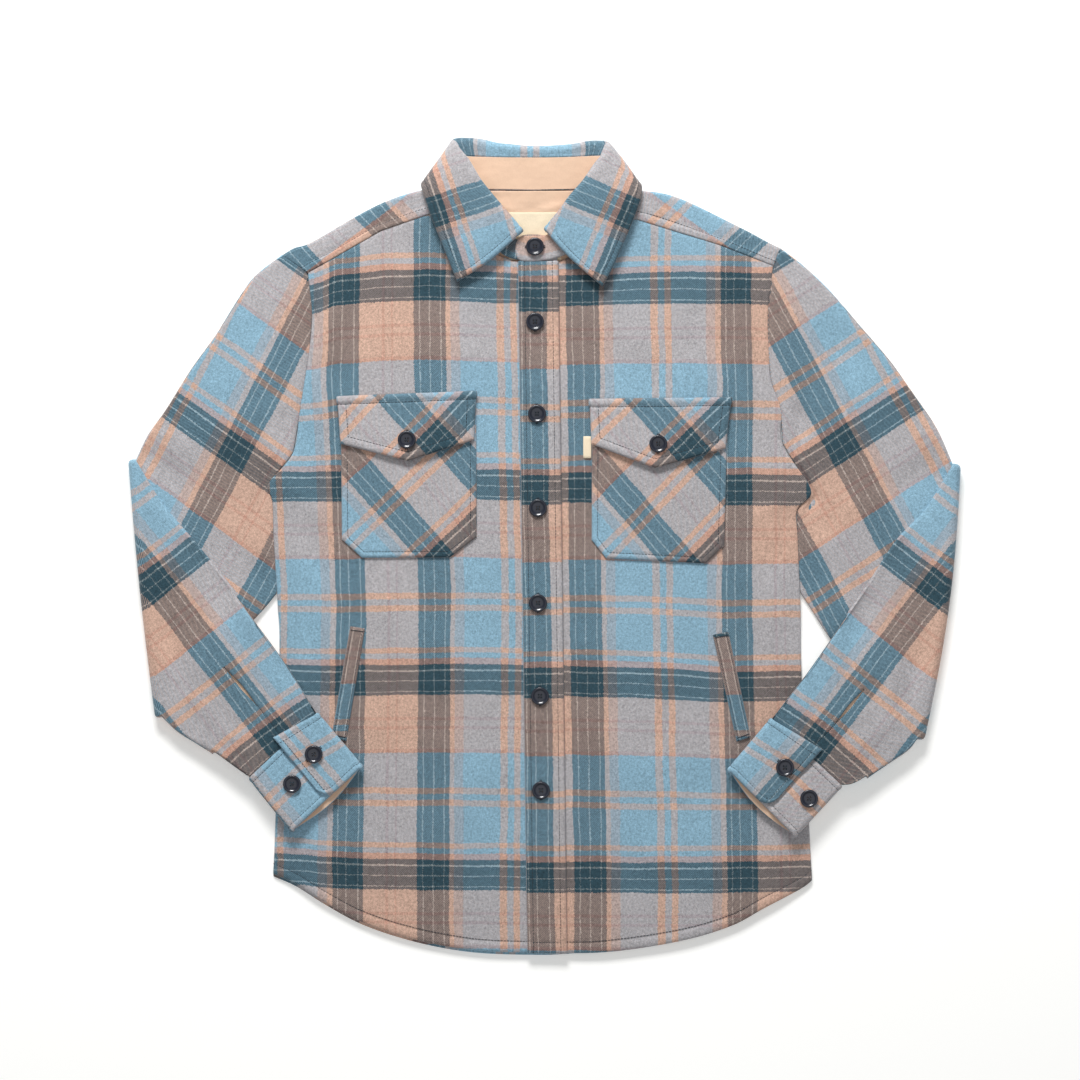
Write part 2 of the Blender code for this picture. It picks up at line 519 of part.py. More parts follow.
def make_cuff(name, side, cuff):
    """A band round the wrist, pressed flat, whose ends lap on the upper ply."""
    seam_upper, seam_lower, mouth_upper, mouth_lower = (np.array(point) for point in cuff[:4])
    width = np.linalg.norm(seam_lower - seam_upper)
    lap = cuff[4] * width
    step_down = CUFF + GAP
    edge = CUFF_HALF + CUFF / 2
    # Across, height and share of the lower ply, round the band from one end to the other
    loop = [(lap, CUFF_HALF, 0.0), (lap * 0.6, CUFF_HALF, 0.0), (lap * 0.3, CUFF_HALF, 0.0),
            (edge, CUFF_HALF, 0.0)]
    for angle in np.linspace(0.0, math.pi, 5)[1:-1]:
        loop.append((edge - CUFF_HALF * math.sin(angle), CUFF_HALF * math.cos(angle), 0.2))
    for share in np.linspace(0.0, 1.0, 8):
        across = edge + share * (width - 2 * edge)
        loop.append((across, -CUFF_HALF, math.sin(math.pi * share)))
    for angle in np.linspace(0.0, math.pi, 5)[1:-1]:
        across = width - edge + CUFF_HALF * math.sin(angle)
        loop.append((across, -CUFF_HALF * math.cos(angle), 0.2))
    for share in (0.0, 0.45, 0.8, 1.0):
        across = width - edge - share * (width - edge - lap - CUFF_STEP)
        loop.append((across, CUFF_HALF - share * CUFF_DIP, 0.0))
    loop.append((lap + 1.0, CUFF_HALF - step_down, 0.0))
    loop.append((lap - CUFF_LAP, CUFF_HALF - step_down, 0.0))
    grid = []
    for run in np.linspace(0.0, 1.0, 6):
        row = []
        for k, (across, height, lower) in enumerate(loop):
            share = across / width
            seam = seam_upper * (1 - share) + seam_lower * share
            mouth = mouth_upper * (1 - share) + mouth_lower * share
            length = np.linalg.norm(mouth - seam)
            from_end = abs(lap - across) if k < 4 else CUFF_CORNER
            inside = CUFF_CORNER - min(from_end, CUFF_CORNER)
            round_off = CUFF_CORNER - math.sqrt(CUFF_CORNER ** 2 - inside ** 2)
            end = 1.0 - round_off / length + lower * CUFF_LOWER_LIP / length
            place = seam + (mouth - seam) / length * GAP + (mouth - seam) * run * end
            row.append((*place, CUFF_HEIGHT + height - sag(place[0], place[1], side)))
        grid.append(row)
    sheet(name, np.array(grid), CUFF, WOOL_CLOTH)


# Chest pockets and flaps: outline x, y
RIGHT_POCKET = dict(top=[(-202.5, 147.0), (-67.8, 151.6)], left=[(-202.5, 147.0), (-201.2, 4.9)],
                    right=[(-67.8, 151.6), (-67.2, 7.5)],
                    bottom=[(-201.2, 4.9), (-181.5, -13.0), (-93.5, -12.5), (-67.2, 7.5)])
LEFT_POCKET = dict(top=[(49.0, 144.5), (184.5, 145.5)], left=[(49.0, 144.5), (48.5, 4.5)],
                   right=[(184.5, 145.5), (180.3, -1.1)],
                   bottom=[(48.5, 4.5), (62.5, -13.5), (162.1, -18.5), (180.3, -1.1)])
RIGHT_FLAP = dict(top=[(-205.5, 147.4), (-67.6, 152.8)], left=[(-205.5, 147.4), (-202.5, 101.2)],
                  right=[(-67.6, 152.8), (-69.8, 105.0)],
                  bottom=[(-202.5, 101.2), (-135.5, 83.9), (-69.8, 105.0)])
LEFT_FLAP = dict(top=[(46.5, 144.8), (187.3, 146.5)], left=[(46.5, 144.8), (48.5, 100.7)],
                 right=[(187.3, 146.5), (181.5, 96.5)],
                 bottom=[(48.5, 100.7), (111.5, 76.9), (181.5, 96.5)])
FLAP_RISE = 3.0       # how far the flap's point stands off its pocket
TAG = (40.2, 47.4, 86.7, 107.8)   # side tag: x from, x to, y from, y to

# Welts of the slanted hand pockets: four corners from the top inner one, x, y
RIGHT_WELT = [(-192.9, -82.5), (-179.2, -84.5), (-197.5, -196.0), (-211.5, -192.5)]
LEFT_WELT = [(169.9, -90.9), (184.5, -88.1), (206.5, -192.0), (193.5, -196.5)]


def outline_patch(piece, rows, columns):
    """Plan of a pocket or flap, with grid lines through the corners of its lower edge."""
    lower = np.array(piece["bottom"])
    share = (lower[:, 0] - lower[0, 0]) / (lower[-1, 0] - lower[0, 0])
    stops = np.unique(np.round(np.concatenate([np.linspace(0.0, 1.0, columns + 1), share]), 5))
    gaps = np.diff(stops)
    stops = np.array([stops[0]] + [value for value, gap in zip(stops[1:], gaps)
                                   if gap > 0.04 or np.any(np.isclose(value, share, atol=1e-4))])
    down = np.linspace(0.0, 1.0, rows + 1)
    top, bottom = by_axis(piece["top"], 0, stops), by_axis(lower, 0, stops)
    left, right = by_axis(piece["left"], 1, down), by_axis(piece["right"], 1, down)
    u, v = stops[None, :, None], down[:, None, None]
    between = (1 - v) * top[None] + v * bottom[None] + (1 - u) * left[:, None] + u * right[:, None]
    corners = ((1 - u) * (1 - v) * top[0] + u * (1 - v) * top[-1]
               + (1 - u) * v * bottom[0] + u * v * bottom[-1])
    return between - corners


def flap_rise(plan):
    """How far each point of a flap stands off: nothing at its seam, most at its point."""
    v = np.linspace(0.0, 1.0, plan.shape[0])[:, None]
    u = np.linspace(0.0, 1.0, plan.shape[1])[None, :]
    return FLAP_RISE * v ** 2 * (0.35 + 0.65 * np.sin(math.pi * u))


def make_pockets():
    """Patch pockets, flaps, side tag and the welts of the hand pockets."""
    on_front = lambda x, y: front_top(x, y) + GAP
    for side, pocket, flap in (("right", RIGHT_POCKET, RIGHT_FLAP), ("left", LEFT_POCKET, LEFT_FLAP)):
        laid(side + "_pocket", outline_patch(pocket, 6, 6), on_front, WOOL, WOOL_CLOTH)
        plan = outline_patch(flap, 4, 6)
        low = front_top(plan[..., 0], plan[..., 1]) + GAP + WOOL + GAP + flap_rise(plan)
        under = np.concatenate([plan, low[..., None]], axis=2)
        wall(side + "_flap", under + np.array([0.0, 0.0, FLAP]), under, WOOL_CLOTH)
    plan = np.stack(np.meshgrid(np.linspace(TAG[0], TAG[1], 2), np.linspace(TAG[3], TAG[2], 3)), axis=2)
    laid("pocket_tag", plan, on_front, TAPE * 1.5, CREAM_CLOTH)
    for name, corners in (("right_welt", RIGHT_WELT), ("left_welt", LEFT_WELT)):
        a, b, c, d = np.array(corners)
        stops = np.linspace(0.0, 1.0, 7)[:, None]
        plan = np.stack([a * (1 - stops) + d * stops, b * (1 - stops) + c * stops], axis=1)
        laid(name, plan, on_front, WOOL, WOOL_CLOTH)


BUTTON_RADIUS = 9.0
BUTTON_THICK = 3.0
BUTTON_SIDES = 12
BUTTON_REACH = 40.0       # how far round a flap's button its cloth is looked at
FLAP_BULGE = 0.6          # the cloth's highest place under the disc above its mean
# Buttons: x, y, and the height each one rests on
ON_BAND = GAP + BAND + GAP
ON_TAB = 12.3


def front_button(x, y):
    return (x, y, float(front_top(x, y)) + ON_BAND)


def flap_button(x, y, flap):
    """A flap's button stands on the flap's highest point under the disc."""
    plan = outline_patch(flap, 4, 6)
    near = np.hypot(plan[..., 0] - x, plan[..., 1] - y) < BUTTON_REACH
    rise = float(flap_rise(plan)[near].mean()) + FLAP_BULGE
    return (x, y, float(front_top(x, y)) + 2 * GAP + WOOL + FLAP + GAP + rise)


def cuff_button(x, y, side, drop):
    """drop is how far the cuff's button end lies below its buttonhole end there."""
    return (x, y, CUFF_HEIGHT + CUFF_HALF + CUFF / 2 + GAP - float(sag(x, y, side)) - drop)


BUTTONS = [
    (-8.5, 297.5, ON_TAB), front_button(-8.5, 222.5), front_button(-6.5, 130.5), front_button(-5.5, 36.5),
    front_button(-5.5, -58.5), front_button(-3.5, -151.5), front_button(-2.5, -245.5),
    flap_button(-136.5, 104.5, RIGHT_FLAP), flap_button(114.5, 100.5, LEFT_FLAP),
    cuff_button(-228.9, -208.9, -1, -0.2), cuff_button(-250.5, -238.5, -1, 0.6),
    cuff_button(240.5, -222.1, 1, -0.2), cuff_button(264.5, -253.0, 1, 0.0),
]


def make_buttons():
    """Turned discs with a raised rim."""
    profile = [(0.0, 0.0), (7.8, 0.2), (BUTTON_RADIUS, 1.7), (8.0, BUTTON_THICK), (5.8, 2.1), (0.0, 1.8)]
    turn = [2 * math.pi * k / BUTTON_SIDES for k in range(BUTTON_SIDES)]
    for number, (x, y, z) in enumerate(BUTTONS, 1):
        points = [(x, y, z + profile[0][1]), (x, y, z + profile[-1][1])]
        for radius, height in profile[1:-1]:
            points += [(x + radius * math.cos(a), y + radius * math.sin(a), z + height) for a in turn]
        rings = len(profile) - 2
        faces = []
        for k in range(BUTTON_SIDES):
            after = (k + 1) % BUTTON_SIDES
            faces.append([0, 2 + after, 2 + k])
            last = 2 + (rings - 1) * BUTTON_SIDES
            faces.append([1, last + k, last + after])
            for ring in range(rings - 1):
                low = 2 + ring * BUTTON_SIDES
                faces.append([low + k, low + after, low + BUTTON_SIDES + after, low + BUTTON_SIDES + k])
        add_body("button_%02d" % number, points, faces, NAVY_PLASTIC)


make_body()
make_yoke()
make_collar()
make_sleeve("right_sleeve", -1, RIGHT_ARM, RIGHT_ARMHOLE, RIGHT_ELBOW, RIGHT_ELBOW_BOW, RIGHT_FOREARM)
make_sleeve("left_sleeve", 1, LEFT_ARM, LEFT_ARMHOLE, LEFT_ELBOW, LEFT_ELBOW_BOW, LEFT_FOREARM)
make_cuff("right_cuff", -1, RIGHT_CUFF)
make_cuff("left_cuff", 1, LEFT_CUFF)
make_pockets()
make_buttons()
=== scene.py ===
# Plaid wool shirt jacket laid flat on its back, front up, both sleeves folded over at the elbow.
# Frame: +X to the photo's right, +Y towards the collar, +Z up. Lengths below are in millimetres.
import json
import math

import bmesh
import bpy
import numpy as np
from mathutils import Matrix, Vector

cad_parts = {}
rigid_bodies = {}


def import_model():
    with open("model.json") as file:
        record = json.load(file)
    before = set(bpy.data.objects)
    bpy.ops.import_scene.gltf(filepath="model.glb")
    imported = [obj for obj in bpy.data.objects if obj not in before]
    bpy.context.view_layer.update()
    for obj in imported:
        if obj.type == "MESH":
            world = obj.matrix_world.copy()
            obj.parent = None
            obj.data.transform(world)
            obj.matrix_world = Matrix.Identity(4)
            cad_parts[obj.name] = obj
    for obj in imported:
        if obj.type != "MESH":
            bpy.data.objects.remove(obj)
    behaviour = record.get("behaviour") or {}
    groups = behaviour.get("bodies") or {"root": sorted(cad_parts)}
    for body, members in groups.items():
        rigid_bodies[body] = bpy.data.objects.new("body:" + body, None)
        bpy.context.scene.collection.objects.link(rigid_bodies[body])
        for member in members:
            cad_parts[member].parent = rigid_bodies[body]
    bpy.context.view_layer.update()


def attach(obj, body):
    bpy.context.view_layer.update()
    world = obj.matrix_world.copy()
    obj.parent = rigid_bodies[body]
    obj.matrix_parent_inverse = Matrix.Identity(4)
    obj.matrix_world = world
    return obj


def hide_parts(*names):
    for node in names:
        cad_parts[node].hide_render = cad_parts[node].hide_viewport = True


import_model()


# Back panel: one ply of the plaid wool below the yoke, cut with a shirt-tail hem. It lies on the
# table and carries everything else. Its hem shows a few millimetres below the right front's.
MM = 0.001
GAP = 0.3                 # between neighbours at a seam
WOOL = 2.2                # brushed wool flannel, one ply
YOKE_SEAM_Y = 244.0
COLLAR_X = -12.0
BACK_HEM_DROP = 2.6
# Armhole and side, from the yoke seam down to the hem: x, y
RIGHT_SIDE = [(-235.5, 272.0), (-231.5, 231.5), (-234.5, 192.5), (-243.5, 135.5), (-250.5, 91.5),
              (-275.0, 60.5), (-270.9, 43.5), (-269.5, 6.5), (-265.5, -62.5), (-263.9, -107.5),
              (-268.0, -276.5), (-270.1, -329.5)]
LEFT_SIDE = [(229.5, 279.0), (224.5, 231.5), (225.5, 191.5), (227.5, 163.5), (237.5, 135.5),
             (239.5, 99.5), (267.5, 54.5), (253.3, 34.5), (254.1, 6.5), (256.9, -65.5),
             (258.0, -130.5), (265.9, -287.5), (268.5, -336.5)]
# Hem from the right side to the left side: x, y
HEM = [(-270.1, -329.5), (-247.5, -339.5), (-219.0, -357.5), (-179.5, -378.5), (-126.5, -395.5),
       (-70.5, -405.5), (-5.5, -408.0), (63.5, -407.5), (136.5, -396.5), (187.5, -381.5),
       (221.0, -363.5), (257.5, -344.5), (268.5, -336.5)]
# Distances from an edge at which the mesh has a line; the stitching runs along one of them
NEAR_EDGE = (0.0, 0.5, 1.6, 3.2, 4.7, 5.6, 6.5, 8.4)
STITCH_LINE = 5
NEAR_HEM = (0.0, 0.7, 2.4, 5.0, 8.0, 9.3, 10.2, 11.1, 13.5)
HEM_LINE = 6
NEAR_SEAM = (0.0, 0.5, 1.6, 3.4, 6.0)


def in_scene(name, data):
    """An object with this mesh, lamp or camera, linked to the scene."""
    made = bpy.data.objects.new(name, data)
    bpy.context.scene.collection.objects.link(made)
    return made


def smooth(value):
    """A soft step from 0 to 1."""
    value = np.clip(value, 0.0, 1.0)
    return value * value * (3.0 - 2.0 * value)


def by_length(line, stops):
    """Points of a polyline at fractions of its length."""
    line = np.array(line, float)
    steps = np.concatenate([[0.0], np.cumsum(np.linalg.norm(np.diff(line, axis=0), axis=1))])
    return np.stack([np.interp(stops, steps / steps[-1], line[:, k]) for k in range(line.shape[1])], axis=1)


def refine(rows, per_span):
    """Rows of a smooth curve or surface through the given ones."""
    rows = np.array(rows, float)
    ends = np.concatenate([[2 * rows[0] - rows[1]], rows, [2 * rows[-1] - rows[-2]]])
    fine = []
    for a, b, c, d in zip(ends, ends[1:], ends[2:], ends[3:]):
        for t in np.arange(per_span) / per_span:
            fine.append(0.5 * (2 * b + (c - a) * t + (2 * a - 5 * b + 4 * c - d) * t ** 2
                               + (3 * b - a - 3 * c + d) * t ** 3))
    return np.array(fine + [rows[-1]])


def curve(points, stops):
    """Points at fractions of the length of a smooth curve through the given ones."""
    return by_length(refine(points, 8), stops)


def by_axis(line, axis, stops):
    """Points of a polyline at fractions of its reach along one axis."""
    line = np.array(line, float)
    reach = (line[:, axis] - line[0, axis]) / (line[-1, axis] - line[0, axis])
    return np.stack([np.interp(stops, reach, line[:, k]) for k in range(line.shape[1])], axis=1)


def lines_across(length, cell, near_start=NEAR_SEAM, near_end=NEAR_SEAM):
    """Fractions of a length for mesh lines: close together at the two edges, even between them."""
    start, end = np.array(near_start) / length, 1.0 - np.array(near_end)[::-1] / length
    count = max(int(round((end[0] - start[-1]) * length / cell)), 2)
    return np.concatenate([start, np.linspace(start[-1], end[0], count + 1)[1:-1], end])


def patch(top, bottom, left, right):
    """Plan of a panel between four edges. Rows run down from the top edge, columns from left to right."""
    u = (top[:, 0] - top[0, 0])[None, :, None] / (top[-1, 0] - top[0, 0])
    reach = np.concatenate([[0.0], np.cumsum(np.linalg.norm(np.diff(left, axis=0), axis=1))])
    v = (reach / reach[-1])[:, None, None]
    between = (1 - v) * top[None] + v * bottom[None] + (1 - u) * left[:, None] + u * right[:, None]
    corners = ((1 - u) * (1 - v) * top[0] + u * (1 - v) * top[-1]
               + (1 - u) * v * bottom[0] + u * v * bottom[-1])
    return between - corners


def from_edges(plan):
    """Distance of each point of a grid from its left, right, top and bottom edge."""
    across = np.pad(np.cumsum(np.linalg.norm(np.diff(plan, axis=1), axis=2), axis=1), ((0, 0), (1, 0)))
    down = np.pad(np.cumsum(np.linalg.norm(np.diff(plan, axis=0), axis=2), axis=0), ((1, 0), (0, 0)))
    return across, across[:, -1:] - across, down, down[-1:] - down


def turned_edge(distance, stitch_at, puff=0.45, sink=0.55):
    """Relief of an edge turned under: round at the edge, full behind it, sunk at the stitching."""
    trough = sink * np.exp(-((distance - stitch_at) / 0.9) ** 2)
    full = puff * np.sin(np.clip(distance / stitch_at, 0.0, 1.0) * math.pi)
    return full - trough - 0.7 * np.exp(-distance / 0.7)


def creases(x, y, table):
    """Sum of soft ridges and troughs. Columns: from x, y, to x, y, height, half width."""
    total = np.zeros_like(x)
    for ax, ay, bx, by, height, width in table:
        length = math.hypot(bx - ax, by - ay)
        along = ((x - ax) * (bx - ax) + (y - ay) * (by - ay)) / length ** 2
        aside = ((x - ax) * (by - ay) - (y - ay) * (bx - ax)) / length
        aside = aside + width * 0.35 * np.sin(along * 4.2 + ax * 0.05)
        ends = smooth((along + 0.12) / 0.3) * smooth((1.12 - along) / 0.3)
        total += height * ends * np.exp(-(aside / width) ** 2)
    return total


def shell(name, outer, inner, cloth, finishes, ring=False, keep=None, other_cloth=None, other=None):
    """A cloth wall between two grids of points with rounded edges. cloth is each point's place on the
    woven cloth. Cells marked in other take their place from other_cloth. A ring joins its last
    column to its first. keep says which cells are there. The second finish is the inner side's."""
    rim = 0.45            # how far the rounded edge stands out, as a share of the thickness
    rows, columns = outer.shape[:2]
    cells_across = columns if ring else columns - 1
    kept = np.ones((rows - 1, cells_across), bool) if keep is None else keep
    count = rows * columns

    def corner(i, j):
        return i * columns + j % columns

    def is_cloth(i, j):
        if ring:
            j %= cells_across
        return 0 <= i < rows - 1 and 0 <= j < cells_across and kept[i, j]

    flat_outer, flat_inner = outer.reshape(-1, 3), inner.reshape(-1, 3)
    faces, sides, others, rims, outwards = [], [], [], [], {}
    for i in range(rows - 1):
        for j in range(cells_across):
            if not kept[i, j]:
                continue
            loop = [corner(i, j), corner(i, j + 1), corner(i + 1, j + 1), corner(i + 1, j)]
            flag = other is not None and bool(other[i, j])
            faces += [loop, [count + k for k in reversed(loop)]]
            sides += [0, 1]
            others += [flag, flag]
            for k, place in enumerate([(i - 1, j), (i, j + 1), (i + 1, j), (i, j - 1)]):
                if not is_cloth(*place):
                    a, b = loop[k], loop[(k + 1) % 4]
                    c, d = loop[(k + 2) % 4], loop[(k + 3) % 4]
                    out = flat_outer[a] + flat_outer[b] - flat_outer[c] - flat_outer[d]
                    out = out / max(np.linalg.norm(out), 1e-9)
                    for end in (a, b):
                        outwards[end] = outwards.get(end, 0.0) + out
                    rims.append((a, b, flag))
    edge_of = {k: 2 * count + n for n, k in enumerate(sorted(outwards))}
    edge_points = []
    for k in sorted(outwards):
        out = outwards[k] / max(np.linalg.norm(outwards[k]), 1e-9)
        thick = np.linalg.norm(flat_outer[k] - flat_inner[k])
        edge_points.append((flat_outer[k] + flat_inner[k]) / 2 + out * thick * rim)
    for a, b, flag in rims:
        faces += [[b, a, edge_of[a], edge_of[b]], [edge_of[b], edge_of[a], count + a, count + b]]
        sides += [0, 0]
        others += [flag, flag]

    points = np.concatenate([flat_outer, flat_inner, np.array(edge_points).reshape(-1, 3)])
    points[:, 2] = np.maximum(points[:, 2], 0.0)
    source = np.concatenate([np.arange(count), np.arange(count), np.array(sorted(outwards), int)])
    used = np.zeros(len(points), bool)
    used[np.unique(np.concatenate([np.array(face) for face in faces]))] = True
    renumber = np.cumsum(used) - 1
    mesh = bpy.data.meshes.new(name)
    mesh.from_pydata((points[used] * MM).tolist(), [], [[int(renumber[k]) for k in face] for face in faces])
    shape = bmesh.new()
    shape.from_mesh(mesh)
    bmesh.ops.recalc_face_normals(shape, faces=shape.faces)
    shape.to_mesh(mesh)
    shape.free()
    for finish in finishes:
        mesh.materials.append(finish)
    if len(finishes) > 1:
        mesh.polygons.foreach_set("material_index", np.array(sides, np.int32))
    corners = np.empty(len(mesh.loops), np.int32)
    mesh.loops.foreach_get("vertex_index", corners)
    origin = source[used][corners]
    places = cloth.reshape(-1, 2)[origin]
    if other is not None:
        sizes = np.array([len(face) for face in faces])
        flagged = np.repeat(np.array(others), sizes)
        places = np.where(flagged[:, None], other_cloth.reshape(-1, 2)[origin], places)
    layer = mesh.uv_layers.new(name="cloth")
    layer.data.foreach_set("uv", (places * MM).astype(np.float32).ravel())
    mesh.shade_smooth()
    return in_scene(name, mesh)


def laid(name, plan, floor, thickness, relief, cloth, finishes):
    """A flat piece on a floor of given heights. Returns the piece and its upper surface."""
    under = np.concatenate([plan, floor[..., None]], axis=2)
    over = under.copy()
    over[..., 2] += thickness + relief
    return shell(name, over, under, cloth, finishes), over


def linear(*rgb):
    """A colour picked as 0 to 255 values, as the shader takes it."""
    values = np.array(rgb) / 255.0
    return (*np.where(values <= 0.04045, values / 12.92, ((values + 0.055) / 1.055) ** 2.4), 1.0)


# Yarns of the plaid. Alpha says how much of the face the yarn takes where it crosses others.
PEACH = (*linear(203, 168, 149)[:3], 0.50)
RED_PEACH = (*linear(194, 148, 130)[:3], 0.52)
BLUE = (*linear(138, 174, 193)[:3], 0.50)
MIXED = (*linear(164, 162, 166)[:3], 0.50)
TEAL = (*linear(46, 72, 83)[:3], 0.61)
TEAL_WEFT = (*TEAL[:3], 0.75)
PALE = (*linear(158, 166, 166)[:3], 0.50)
WARP_REPEAT = 236.0
WEFT_REPEAT = 195.5
# Where each stripe of the warp starts, across the cloth
WARP = [(0.0, TEAL), (4.2, PALE), (5.2, TEAL), (12.5, PALE), (13.5, TEAL), (24.0, PALE), (25.0, TEAL),
        (30.0, PEACH), (52.5, RED_PEACH), (54.5, PEACH), (61.0, RED_PEACH), (63.0, PEACH),
        (83.0, TEAL), (88.8, PALE), (89.8, TEAL), (98.8, PALE), (99.8, TEAL), (110.4, PALE),
        (111.4, TEAL), (115.5, PEACH), (120.0, MIXED), (129.5, BLUE), (166.5, PEACH), (173.5, BLUE),
        (180.0, PEACH), (187.0, BLUE), (221.0, MIXED), (230.0, PEACH)]
# Where each stripe of the weft starts, down the cloth
WEFT = [(0.0, TEAL_WEFT), (5.3, PALE), (6.3, TEAL_WEFT), (15.8, PALE), (16.8, TEAL_WEFT),
        (26.0, PALE), (27.0, TEAL_WEFT), (30.5, PEACH), (52.5, RED_PEACH), (55.0, PEACH),
        (61.5, RED_PEACH), (64.5, PEACH), (84.5, RED_PEACH), (88.0, BLUE), (123.7, PEACH),
        (129.5, BLUE), (135.5, PEACH), (141.5, BLUE), (178.0, PEACH), (183.6, BLUE),
        (189.1, RED_PEACH)]
SECOND_BAND = 83.0        # where the warp's second dark band starts
BLUE_WEFT = 88.0          # where the weft's blue starts
TWILL_REPEAT = 1.8        # one rib of the twill
BACK_CHECK_X = 215.0      # what the back's check is shifted by
BACK_CHECK_Y = 275.0


class Nodes:
    """Short hand for building a node tree."""

    def __init__(self, tree):
        self.tree = tree

    def add(self, kind, **settings):
        node = self.tree.nodes.new(kind)
        for key, value in settings.items():
            setattr(node, key, value)
        return node

    def link(self, source, target):
        self.tree.links.new(source, target)

    def math(self, operation, first, second=None, third=None):
        node = self.add("ShaderNodeMath", operation=operation)
        for socket, value in zip(node.inputs, (first, second, third)):
            if isinstance(value, (int, float)):
                socket.default_value = value
            elif value is not None:
                self.link(value, socket)
        return node.outputs[0]

    def noise(self, vector, scale, detail=2.0, roughness=0.5):
        node = self.add("ShaderNodeTexNoise")
        node.inputs["Scale"].default_value = scale
        node.inputs["Detail"].default_value = detail
        node.inputs["Roughness"].default_value = roughness
        self.link(vector, node.inputs["Vector"])
        return node.outputs["Fac"]

    def stripes(self, place, table, repeat):
        node = self.add("ShaderNodeValToRGB")
        ramp = node.color_ramp
        ramp.interpolation = "CONSTANT"
        while len(ramp.elements) > 1:
            ramp.elements.remove(ramp.elements[0])
        ramp.elements[0].position = 0.0
        ramp.elements[0].color = table[0][1]
        for start, yarn in table[1:]:
            ramp.elements.new(start / repeat).color = yarn
        self.link(place, node.inputs["Fac"])
        return node.outputs["Color"], node.outputs["Alpha"]

    def blend(self, factor, first, second):
        node = self.add("ShaderNodeMix", data_type="RGBA", blend_type="MIX")
        for socket, value in ((node.inputs[0], factor), (node.inputs[6], first), (node.inputs[7], second)):
            if isinstance(value, (int, float, tuple)):
                socket.default_value = value
            else:
                self.link(value, socket)
        return node.outputs[2]


def plaid_group():
    """Warp and weft stripes crossing in a twill, brushed and heathered."""
    group = bpy.data.node_groups.new("brushed_plaid", "ShaderNodeTree")
    group.interface.new_socket("Cloth", in_out="INPUT", socket_type="NodeSocketVector")
    group.interface.new_socket("Surface", in_out="INPUT", socket_type="NodeSocketVector")
    group.interface.new_socket("Color", in_out="OUTPUT", socket_type="NodeSocketColor")
    group.interface.new_socket("Height", in_out="OUTPUT", socket_type="NodeSocketFloat")
    n = Nodes(group)
    start, end = n.add("NodeGroupInput"), n.add("NodeGroupOutput")
    cloth, surface = start.outputs["Cloth"], start.outputs["Surface"]
    split = n.add("ShaderNodeSeparateXYZ")
    n.link(cloth, split.inputs[0])
    fuzz = n.math("MULTIPLY", n.math("SUBTRACT", n.noise(surface, 900.0), 0.5), 3.6 * MM)
    wander = n.math("MULTIPLY", n.math("SUBTRACT", n.noise(surface, 28.0), 0.5), 3.0 * MM)
    places = []
    for axis, repeat in ((0, WARP_REPEAT), (1, WEFT_REPEAT)):
        moved = n.math("ADD", n.math("ADD", split.outputs[axis], fuzz), wander)
        places.append(n.math("FRACT", n.math("DIVIDE", moved, repeat * MM)))
    warp, warp_cover = n.stripes(places[0], WARP, WARP_REPEAT)
    weft, weft_cover = n.stripes(places[1], WEFT, WEFT_REPEAT)
    diagonal = n.math("ADD", split.outputs[0], split.outputs[1])
    rib = n.math("SINE", n.math("MULTIPLY", diagonal, 2.0 * math.pi / (TWILL_REPEAT * MM)))
    cover = n.math("SUBTRACT", weft_cover, warp_cover)
    share = n.math("ADD", n.math("MULTIPLY_ADD", rib, 0.26, 0.5), cover)
    colour = n.blend(n.math("MINIMUM", n.math("MAXIMUM", share, 0.0), 1.0), warp, weft)
    # Heathered yarn: lighter and darker fibres along the threads, and soft clouds over the cloth
    fibres = n.noise(surface, 1300.0, 1.0)
    tufts = n.noise(surface, 420.0, 2.0)
    clouds = n.noise(surface, 30.0, 2.0)
    streaks = n.add("ShaderNodeVectorMath", operation="MULTIPLY")
    n.link(cloth, streaks.inputs[0])
    streaks.inputs[1].default_value = (1400.0, 120.0, 1.0)
    drawn = n.noise(streaks.outputs[0], 1.0, 1.0)
    shade = n.math("MULTIPLY_ADD", n.math("SUBTRACT", fibres, 0.5), 1.1, 1.0)
    shade = n.math("MULTIPLY_ADD", n.math("SUBTRACT", tufts, 0.5), 0.9, shade)
    shade = n.math("MULTIPLY_ADD", n.math("SUBTRACT", drawn, 0.5), 0.34, shade)
    shade = n.math("MULTIPLY_ADD", n.math("SUBTRACT", clouds, 0.5), 0.22, shade)
    tinted = n.add("ShaderNodeVectorMath", operation="SCALE")
    n.link(colour, tinted.inputs[0])
    n.link(shade, tinted.inputs["Scale"])
    n.link(tinted.outputs[0], end.inputs["Color"])
    nap = n.math("MULTIPLY_ADD", tufts, 0.6, n.math("MULTIPLY", fibres, 0.5))
    n.link(n.math("MULTIPLY_ADD", rib, 0.06, nap), end.inputs["Height"])
    return group


